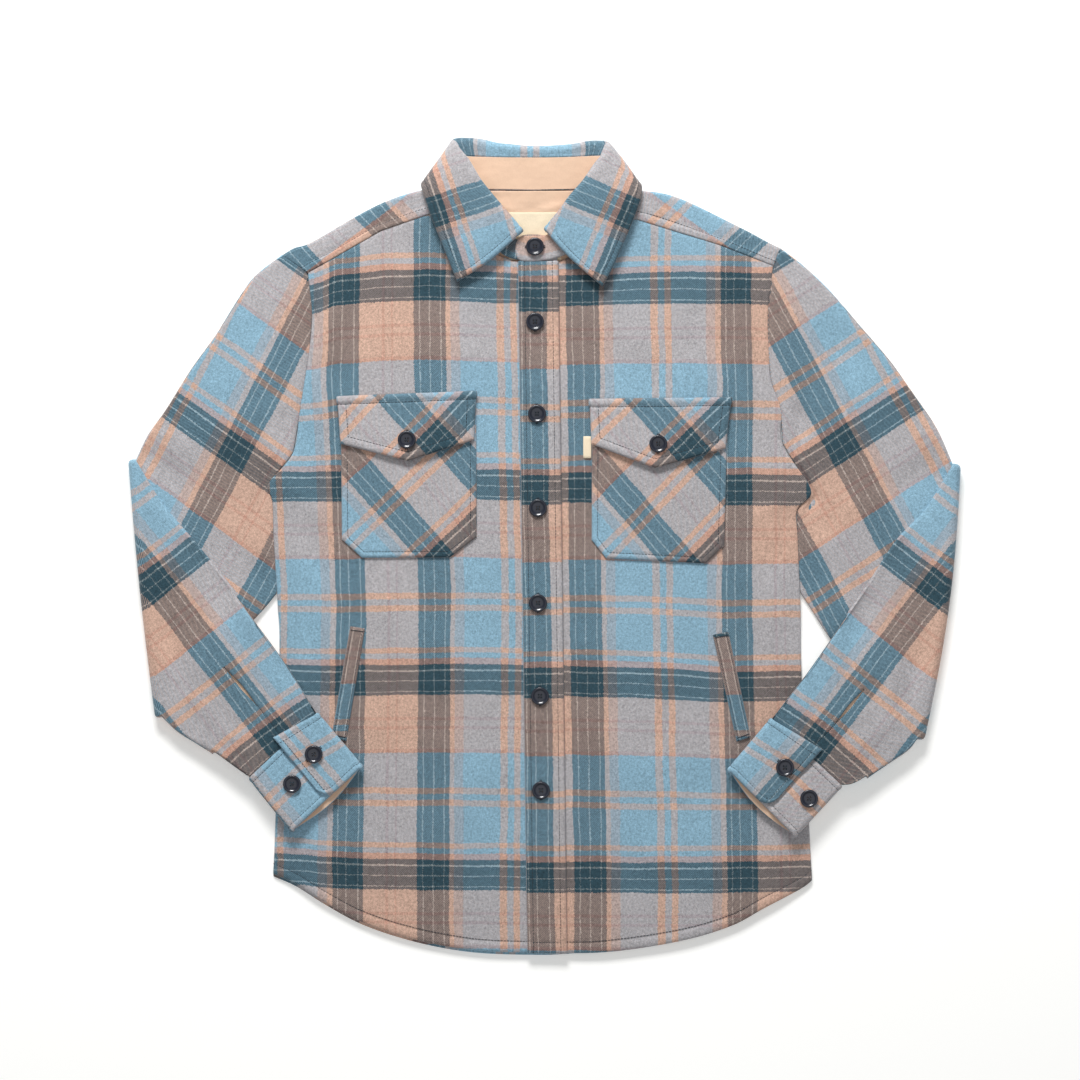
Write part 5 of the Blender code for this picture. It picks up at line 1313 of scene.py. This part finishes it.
# Cuffs: a lined band round each wrist, pressed flat. The buttonhole end laps the button end on the
# upper side, with a round corner at the mouth.
# Seam corners and mouth corners, upper then lower edge, x, y, and the share where the ends lap
RIGHT_CUFF = ((-225.5, -167.1), (-294.5, -233.5), (-180.7, -220.2), (-252.5, -286.5), 0.52)
LEFT_CUFF = ((226.9, -172.5), (298.5, -241.5), (184.0, -223.4), (252.1, -291.5), 0.59)
CUFF = 2.8
CUFF_HEIGHT = 15.0        # of the pressed band's middle
CUFF_HALF = 3.2           # from there to the middle of each layer
CUFF_LAP = 24.0           # how far the button end runs on under the buttonhole end
CUFF_STEP = 6.0           # over which it steps down to that
CUFF_DIP = 1.2            # and how much lower it already lies before
CUFF_CORNER = 15.0        # radius of the buttonhole end's corner
CUFF_LOWER_LIP = 6.0      # how far the lower layer stands out at the mouth
CUFF_FLARE = 12.0         # how far the buttonhole end's corner reaches up over the sleeve
CUFF_LIFT = 2.0           # and how far it rises there


def make_cuff(name, side, cuff):
    seam_upper, seam_lower, mouth_upper, mouth_lower = (np.array(point) for point in cuff[:4])
    width = np.linalg.norm(seam_lower - seam_upper)
    lap = cuff[4] * width
    edge = CUFF_HALF + CUFF / 2
    # Round the band from the buttonhole end to the button end: distance across, height, lower lip
    shares = lines_across(lap - edge, 3.0, NEAR_EDGE, (0.0, 2.0))
    loop = [(across, CUFF_HALF, 0.0) for across in lap - (lap - edge) * shares]
    top_count = len(loop)
    turns = np.linspace(0.0, math.pi, 9)[1:-1]
    loop += [(edge - CUFF_HALF * math.sin(angle), CUFF_HALF * math.cos(angle), 0.2) for angle in turns]
    loop += [(edge + share * (width - 2 * edge), -CUFF_HALF, math.sin(math.pi * share))
             for share in np.linspace(0, 1, 22)]
    loop += [(width - edge + CUFF_HALF * math.sin(angle), -CUFF_HALF * math.cos(angle), 0.2)
             for angle in turns]
    button_end = len(loop)
    for share in np.linspace(0.0, 1.0, 14):
        across = width - edge - share * (width - edge - lap - CUFF_STEP)
        loop.append((across, CUFF_HALF - CUFF_DIP * smooth(share), 0.0))
    dipped = CUFF_HALF - CUFF - GAP
    for share in (0.33, 0.66, 1.0):
        loop.append((lap + CUFF_STEP - (CUFF_STEP - 1.0) * share,
                     (CUFF_HALF - CUFF_DIP) * (1 - smooth(share)) + dipped * smooth(share), 0.0))
    loop += [(lap + 1.0 - (CUFF_LAP + 1.0) * share, dipped, 0.0) for share in (0.25, 0.5, 0.75, 1.0)]
    runs = lines_across(70.0, 4.0, NEAR_EDGE, NEAR_EDGE)
    grid = []
    for run in runs:
        row = []
        for k, (across, height, lower) in enumerate(loop):
            share = across / width
            seam = seam_upper * (1 - share) + seam_lower * share
            mouth = mouth_upper * (1 - share) + mouth_lower * share
            length = np.linalg.norm(mouth - seam)
            flared, inside = 0.0, 0.0
            if k < top_count:
                flared = (across - edge) / (lap - edge)
                inside = CUFF_CORNER - min(lap - across, CUFF_CORNER)
            round_off = CUFF_CORNER - math.sqrt(CUFF_CORNER ** 2 - inside ** 2)
            end = 1.0 - round_off / length + lower * CUFF_LOWER_LIP / length
            way = (mouth - seam) / length
            place = seam + way * GAP + (mouth - seam) * run * end
            place -= way * CUFF_FLARE * flared * (1.0 - run) ** 3
            lift = CUFF_LIFT * flared * smooth((0.40 - run) / 0.2)
            row.append((*place, CUFF_HEIGHT + height + lift - sag(place[0], place[1], side)))
        grid.append(row)
    middle = np.array(grid)
    along, along_back, down, down_back = from_edges(middle)
    edges = np.minimum(np.minimum(down, down_back), np.minimum(along, along_back))
    relief = turned_edge(edges, NEAR_EDGE[STITCH_LINE], 0.35, 0.4)
    relief += 0.25 * np.sin(along / 17.0) * np.sin(down / 19.0 + 0.6) * smooth((edges - 7.0) / 8.0)
    flat = np.array([across for across, _, _ in loop])
    shift = 143.0 if side < 0 else np.where(np.arange(len(loop)) >= button_end, -18.0, -40.0)
    cloth = np.stack([flat + shift + 0.0 * down, 100.0 + down], axis=2)
    piece, face = walled(name + "_cloth", middle, CUFF, relief, cloth, [wool, tan], outward=float(side))
    finish_piece(piece, [name])
    return face


right_cuff_face = make_cuff("right_cuff", -1, RIGHT_CUFF)
left_cuff_face = make_cuff("left_cuff", 1, LEFT_CUFF)


# Buttons: thirteen turned discs of dark navy resin with a raised rim and four holes, sewn on with a
# cross of dark thread. One mesh, copied.
# Half section from the middle of the back round the rim to the middle of the front: radius, height
BUTTON_PROFILE = [(0.0, 0.15), (6.2, 0.15), (7.8, 0.35), (8.7, 1.0), (9.0, 1.7), (8.85, 2.4), (8.3, 2.9),
                  (7.6, 3.0), (6.9, 2.75), (6.3, 2.25), (5.4, 1.9), (4.0, 1.75), (0.0, 1.7)]
BUTTON_SIDES = 48
HOLE_RADIUS = 0.85
HOLE_OUT = 1.35           # of each hole from the middle, along x and along y


def plain_finish(name, colour, roughness, coat=0.0):
    finish = bpy.data.materials.new(name)
    finish.use_nodes = True
    shader = finish.node_tree.nodes["Principled BSDF"]
    shader.inputs["Base Color"].default_value = colour
    shader.inputs["Roughness"].default_value = roughness
    shader.inputs["Coat Weight"].default_value = coat
    return finish


navy = plain_finish("navy_button", linear(22, 27, 42), 0.28, 0.4)
thread = plain_finish("dark_thread", linear(40, 46, 54), 0.8)


def button_box(number):
    """Lowest and highest corner of a button's solid, in metres."""
    node = bpy.data.objects["button_%02d" % number]
    corners = np.array([node.matrix_world @ Vector(corner) for corner in node.bound_box])
    return corners.min(axis=0), corners.max(axis=0)


def make_buttons():
    shape = bmesh.new()
    turns = [2 * math.pi * k / BUTTON_SIDES for k in range(BUTTON_SIDES)]
    rings = [[shape.verts.new((r * math.cos(turn) * MM, r * math.sin(turn) * MM, z * MM)) for turn in turns]
             for r, z in BUTTON_PROFILE[1:-1]]
    foot = shape.verts.new((0, 0, BUTTON_PROFILE[0][1] * MM))
    crown = shape.verts.new((0, 0, BUTTON_PROFILE[-1][1] * MM))
    for k in range(BUTTON_SIDES):
        after = (k + 1) % BUTTON_SIDES
        shape.faces.new((foot, rings[0][after], rings[0][k]))
        shape.faces.new((crown, rings[-1][k], rings[-1][after]))
        for low, high in zip(rings, rings[1:]):
            shape.faces.new((low[k], low[after], high[after], high[k]))
    disc_mesh = bpy.data.meshes.new("button_disc")
    shape.to_mesh(disc_mesh)
    shape.free()
    disc = in_scene("button_disc", disc_mesh)
    drill_mesh = bpy.data.meshes.new("drill")
    shape = bmesh.new()
    for way_x, way_y in ((1, 1), (-1, 1), (1, -1), (-1, -1)):
        made = bmesh.ops.create_cone(shape, cap_ends=True, segments=16, radius1=HOLE_RADIUS * MM,
                                     radius2=HOLE_RADIUS * MM, depth=6 * MM)
        hole_at = (way_x * HOLE_OUT * MM, way_y * HOLE_OUT * MM, 1.5 * MM)
        bmesh.ops.translate(shape, verts=made["verts"], vec=hole_at)
    shape.to_mesh(drill_mesh)
    shape.free()
    drill = in_scene("drill", drill_mesh)
    cut = disc.modifiers.new("holes", "BOOLEAN")
    cut.operation, cut.object, cut.solver = "DIFFERENCE", drill, "EXACT"
    bpy.context.view_layer.update()
    holed = bpy.data.meshes.new_from_object(disc.evaluated_get(bpy.context.evaluated_depsgraph_get()))
    bpy.data.objects.remove(disc, do_unlink=True)
    bpy.data.objects.remove(drill, do_unlink=True)
    holed.name = "holed_button"
    holed.materials.clear()
    holed.materials.append(navy)
    holed.shade_smooth()
    holed.set_sharp_from_angle(angle=math.radians(38))
    # Cross of thread through the four holes
    shape = bmesh.new()
    for turn in (math.radians(45), math.radians(-45)):
        made = bmesh.ops.create_uvsphere(shape, u_segments=8, v_segments=10, radius=1.0)
        for corner in made["verts"]:
            x, y, z = corner.co.z * 2.1, corner.co.x * 0.38, corner.co.y * 0.34 + 1.85
            across, along = x * math.cos(turn) - y * math.sin(turn), x * math.sin(turn) + y * math.cos(turn)
            corner.co = (across * MM, along * MM, z * MM)
    cross = bpy.data.meshes.new("thread_cross")
    shape.to_mesh(cross)
    shape.free()
    cross.materials.append(thread)
    cross.shade_smooth()
    for number in range(1, 14):
        node = "button_%02d" % number
        low, high = button_box(number)
        place = (*((low + high) / 2)[:2], low[2])
        for label, mesh in (("disc", holed), ("cross", cross)):
            placed = mesh.copy()
            placed.transform(Matrix.Translation(place))
            piece = in_scene("%s_%s" % (node, label), placed)
            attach(piece, "root")
            if label == "disc":
                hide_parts(node)


make_buttons()


# Topstitching: dark thread in short straight stitches, each sunk a little in its trough. One stitch is
# set along every seam by Geometry Nodes.
STITCH_PITCH = 3.2
STITCH_LONG = 2.5
STITCH_THICK = 0.62
STITCH_SIDES = 5
YOKE_STITCH = -8          # the yoke's row that its stitching follows, and the columns beside the neck
YOKE_RIGHT, YOKE_LEFT = slice(None, 43), slice(-37, None)
FLAP_SIDE_DROP = 8.0      # below the flap's upper corners, where the row round it starts
WELT_STITCH = 0.12        # of the welt's width


def stitch_shape(name, length, thickness, finish):
    """A short rounded bar of thread along X."""
    shape = bmesh.new()
    turns = [2 * math.pi * k / STITCH_SIDES for k in range(STITCH_SIDES)]
    rings = []
    for share, swell in ((-1.0, 0.35), (-0.7, 1.0), (0.7, 1.0), (1.0, 0.35)):
        x, radius = share * length / 2 * MM, swell * thickness / 2 * MM
        rings.append([shape.verts.new((x, radius * math.cos(turn), radius * math.sin(turn)))
                      for turn in turns])
    for low, high in zip(rings, rings[1:]):
        for k in range(STITCH_SIDES):
            after = (k + 1) % STITCH_SIDES
            shape.faces.new((low[k], low[after], high[after], high[k]))
    shape.faces.new(rings[0][::-1])
    shape.faces.new(rings[-1])
    bmesh.ops.recalc_face_normals(shape, faces=shape.faces)
    mesh = bpy.data.meshes.new(name)
    shape.to_mesh(mesh)
    shape.free()
    mesh.materials.append(finish)
    return in_scene(name, mesh)


def stitch_nodes():
    """Sets one shape along lines, a pitch apart, each turned along its line."""
    group = bpy.data.node_groups.new("run_of_stitches", "GeometryNodeTree")
    for socket, kind in (("Lines", "Geometry"), ("Stitch", "Object"), ("Pitch", "Float"),
                         ("Thread", "Material")):
        group.interface.new_socket(socket, in_out="INPUT", socket_type="NodeSocket" + kind)
    group.interface.new_socket("Stitches", in_out="OUTPUT", socket_type="NodeSocketGeometry")
    n = Nodes(group)
    start, end = n.add("NodeGroupInput"), n.add("NodeGroupOutput")
    to_curve = n.add("GeometryNodeMeshToCurve")
    points = n.add("GeometryNodeCurveToPoints", mode="LENGTH")
    turn = n.add("FunctionNodeAlignRotationToVector", axis="X")
    shape, place = n.add("GeometryNodeObjectInfo"), n.add("GeometryNodeInstanceOnPoints")
    real, finish = n.add("GeometryNodeRealizeInstances"), n.add("GeometryNodeSetMaterial")
    n.link(start.outputs["Lines"], to_curve.inputs[0])
    n.link(to_curve.outputs[0], points.inputs["Curve"])
    n.link(start.outputs["Pitch"], points.inputs["Length"])
    n.link(points.outputs["Tangent"], turn.inputs["Vector"])
    n.link(start.outputs["Stitch"], shape.inputs["Object"])
    n.link(points.outputs["Points"], place.inputs["Points"])
    n.link(shape.outputs["Geometry"], place.inputs["Instance"])
    n.link(turn.outputs["Rotation"], place.inputs["Rotation"])
    n.link(place.outputs[0], real.inputs[0])
    n.link(real.outputs[0], finish.inputs["Geometry"])
    n.link(start.outputs["Thread"], finish.inputs["Material"])
    n.link(finish.outputs[0], end.inputs["Stitches"])
    return group


def sewn(name, routes, pitch, length, thickness, finish):
    """Stitches along routes of points, joined to one piece."""
    points, edges = [], []
    for route in routes:
        edges += [(len(points) + k, len(points) + k + 1) for k in range(len(route) - 1)]
        points += (np.array(route) * MM).tolist()
    mesh = bpy.data.meshes.new(name + "_lines")
    mesh.from_pydata(points, edges, [])
    line = in_scene(name + "_lines", mesh)
    stitch = stitch_shape(name + "_stitch", length, thickness, finish)
    group = bpy.data.node_groups.get("run_of_stitches") or stitch_nodes()
    run = line.modifiers.new("stitches", "NODES")
    run.node_group = group
    values = {"Stitch": stitch, "Pitch": pitch * MM, "Thread": finish}
    for socket in group.interface.items_tree:
        if socket.name in values:
            run[socket.identifier] = values[socket.name]
    bpy.context.view_layer.update()
    made = bpy.data.meshes.new_from_object(line.evaluated_get(bpy.context.evaluated_depsgraph_get()))
    bpy.data.objects.remove(line, do_unlink=True)
    bpy.data.objects.remove(stitch, do_unlink=True)
    made.shade_smooth()
    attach(in_scene(name, made), "root")


def inset(line, distance):
    """An open line moved inwards, which is to the left of its way, its corners kept sharp."""
    line = np.array(line, float)
    ways = np.diff(line, axis=0)
    ways /= np.linalg.norm(ways, axis=1)[:, None]
    asides = np.stack([-ways[:, 1], ways[:, 0]], axis=1) * distance
    moved = [line[0] + asides[0]]
    for k in range(1, len(line) - 1):
        turn = asides[k - 1] + asides[k]
        moved.append(line[k] + turn * distance ** 2 * 2 / (turn @ turn))
    return np.array(moved + [line[-1] + asides[-1]])


def on_top(piece_name, line, lift=0.05):
    """A line in plan dropped onto a piece from above."""
    piece = bpy.data.objects[piece_name]
    line = np.array(line, float)
    length = np.linalg.norm(np.diff(line, axis=0), axis=1).sum()
    route = []
    for x, y in by_length(line, np.linspace(0.0, 1.0, max(int(length / 2.0), 4))):
        hit, place, _, _ = piece.ray_cast(Vector((x * MM, y * MM, 0.2)), Vector((0.0, 0.0, -1.0)))
        if hit:
            route.append((x, y, place.z / MM + lift))
    return route


def lifted(route):
    return np.array(route) + np.array([0.0, 0.0, 0.1])


def make_topstitching():
    bpy.context.view_layer.update()
    hem = -1 - HEM_LINE
    routes = [lifted(right_front_top[hem]), lifted(left_front_top[hem, 1:])]
    routes += [lifted(placket_top[:, STITCH_LINE]), lifted(placket_top[:, -1 - STITCH_LINE]),
               lifted(placket_top[hem, STITCH_LINE:-STITCH_LINE])]
    for name, piece in (("right_pocket", RIGHT_POCKET), ("left_pocket", LEFT_POCKET)):
        outline = piece["left"][:1] + piece["bottom"] + piece["right"][:1]
        routes.append(on_top(name + "_cloth", inset(outline, NEAR_EDGE[STITCH_LINE])))
    for name, piece in (("right_flap", RIGHT_FLAP), ("left_flap", LEFT_FLAP)):
        outline = np.array(piece["left"][:1] + piece["bottom"] + piece["right"][:1])
        lower = inset(outline, FLAP_STITCH)
        lower[[0, -1], 1] -= FLAP_SIDE_DROP
        routes.append(on_top(name + "_cloth", lower))
        routes.append(on_top(name + "_cloth", inset(piece["top"][::-1], FLAP_TOP_STITCH)))
    for name, corners in (("right_welt_cloth", RIGHT_WELT), ("left_welt_cloth", LEFT_WELT)):
        a, b, c, d = np.array(corners)
        routes += [on_top(name, [a + (b - a) * WELT_STITCH, d + (c - d) * WELT_STITCH]),
                   on_top(name, [b + (a - b) * WELT_STITCH, c + (d - c) * WELT_STITCH])]
    leaf = [leaf_face[LEAF_END:-LEAF_END, -1 - STITCH_LINE], leaf_face[LEAF_END, 8:-STITCH_LINE],
            leaf_face[-1 - LEAF_END, 8:-STITCH_LINE]]
    for route in leaf:
        route[:, 2] = np.maximum(route[:, 2], STITCH_THICK)
    routes += leaf + [yoke_face[YOKE_STITCH, YOKE_RIGHT], yoke_face[YOKE_STITCH, YOKE_LEFT]]
    for face in (right_cuff_face, left_cuff_face):
        routes += [face[STITCH_LINE, :-5], face[-1 - STITCH_LINE, STITCH_LINE:-5],
                   face[STITCH_LINE:-STITCH_LINE, STITCH_LINE]]
    sewn("topstitching", routes, STITCH_PITCH, STITCH_LONG, STITCH_THICK, thread)


make_topstitching()


# Buttonholes and bar tacks: dense thread along a short line. A buttonhole is two lines close beside
# each other. The bar tacks close both ends of each welt.
HOLE_LONG = 19.5
HOLE_GAP = 1.6
TACK_LONG = 12.0
TACK_IN = 0.025           # of the welt's length
# Pitch, length and thickness of the thread
HOLE_THREAD = (0.9, 1.3, 1.0)
TACK_THREAD = (0.7, 1.0, 0.9)
# Buttonholes off the placket: button, piece, direction
OTHER_HOLES = [(1, "collar_stand_cloth", (1.0, 0.02)), (8, "right_flap_cloth", (0.02, 1.0)),
               (9, "left_flap_cloth", (0.02, 1.0)), (10, "right_cuff_cloth", (0.72, 0.69)),
               (12, "left_cuff_cloth", (-0.70, 0.71))]


def bar(piece_name, centre, way, length, gap):
    """Two close lines of thread beside each other, or one where gap is nothing."""
    way = np.array(way, float) / np.linalg.norm(way)
    aside = np.array([-way[1], way[0]])
    ends = [np.array(centre) - way * length / 2, np.array(centre) + way * length / 2]
    shifts = (-gap / 2, gap / 2) if gap else (0.0,)
    return [on_top(piece_name, [end + aside * shift for end in ends], 0.1) for shift in shifts]


def make_buttonholes():
    slope = (PLACKET_HEM_X[0] - PLACKET_X[0], -690.0)
    lines = []
    for number, piece, way in [(k, "placket_band", slope) for k in range(2, 8)] + OTHER_HOLES:
        low, high = button_box(number)
        lines += bar(piece, (low + high)[:2] / 2 / MM, way, HOLE_LONG, HOLE_GAP)
    sewn("buttonholes", [line for line in lines if len(line) > 2], *HOLE_THREAD, thread)
    tacks = []
    for corners, piece in ((RIGHT_WELT, "right_welt_cloth"), (LEFT_WELT, "left_welt_cloth")):
        a, b, c, d = np.array(corners)
        top, foot = (a + b) / 2, (c + d) / 2
        tacks += bar(piece, top + (foot - top) * TACK_IN, b - a, TACK_LONG, 0.0)
        tacks += bar(piece, foot + (top - foot) * TACK_IN, c - d, TACK_LONG, 0.0)
    sewn("bar_tacks", [tack for tack in tacks if len(tack) > 2], *TACK_THREAD, thread)


make_buttonholes()


# Camera straight above through a long lens, a pale floor, and soft light from beyond the collar.
# Lengths here are in metres.
FLOOR_HALF = 6.0
PHOTO_WIDTH = 1.080
PHOTO_CENTRE = (-0.0035, 0.0045)
CAMERA_DISTANCE = 3.2     # above the fronts
FRONTS_HEIGHT = 0.008


def stage():
    half = FLOOR_HALF
    corners = [(-half, -half, 0), (half, -half, 0), (half, half, 0), (-half, half, 0)]
    floor_mesh = bpy.data.meshes.new("floor")
    floor_mesh.from_pydata(corners, [], [(0, 1, 2, 3)])
    floor = in_scene("floor", floor_mesh)
    paper = plain_finish("floor_paper", (0.97, 0.965, 0.94, 1.0), 1.0)
    shader = paper.node_tree.nodes["Principled BSDF"]
    shader.inputs["Emission Color"].default_value = (1.0, 0.995, 0.97, 1.0)
    shader.inputs["Emission Strength"].default_value = 0.22
    floor_mesh.materials.append(paper)

    lens = bpy.data.cameras.new("camera")
    lens.lens = lens.sensor_width * CAMERA_DISTANCE / PHOTO_WIDTH
    camera = in_scene("camera", lens)
    camera.location = (*PHOTO_CENTRE, CAMERA_DISTANCE + FRONTS_HEIGHT)
    bpy.context.scene.camera = camera

    def area_light(name, place, size, power):
        lamp = bpy.data.lights.new(name, "AREA")
        lamp.shape = "RECTANGLE"
        lamp.size, lamp.size_y = size
        lamp.energy = power
        light = in_scene(name, lamp)
        light.location = place
        light.rotation_euler = (-Vector(place)).to_track_quat("-Z", "Y").to_euler()

    area_light("window", (-0.35, 2.5, 1.7), (1.3, 0.7), 96.0)
    area_light("ceiling", (0.2, -0.6, 3.0), (3.0, 3.0), 17.0)
    bpy.context.scene.view_settings.view_transform = "Standard"
    world = bpy.data.worlds.new("room")
    world.use_nodes = True
    world.node_tree.nodes["Background"].inputs["Color"].default_value = (0.95, 0.97, 1.0, 1.0)
    world.node_tree.nodes["Background"].inputs["Strength"].default_value = 0.30
    bpy.context.scene.world = world


stage()
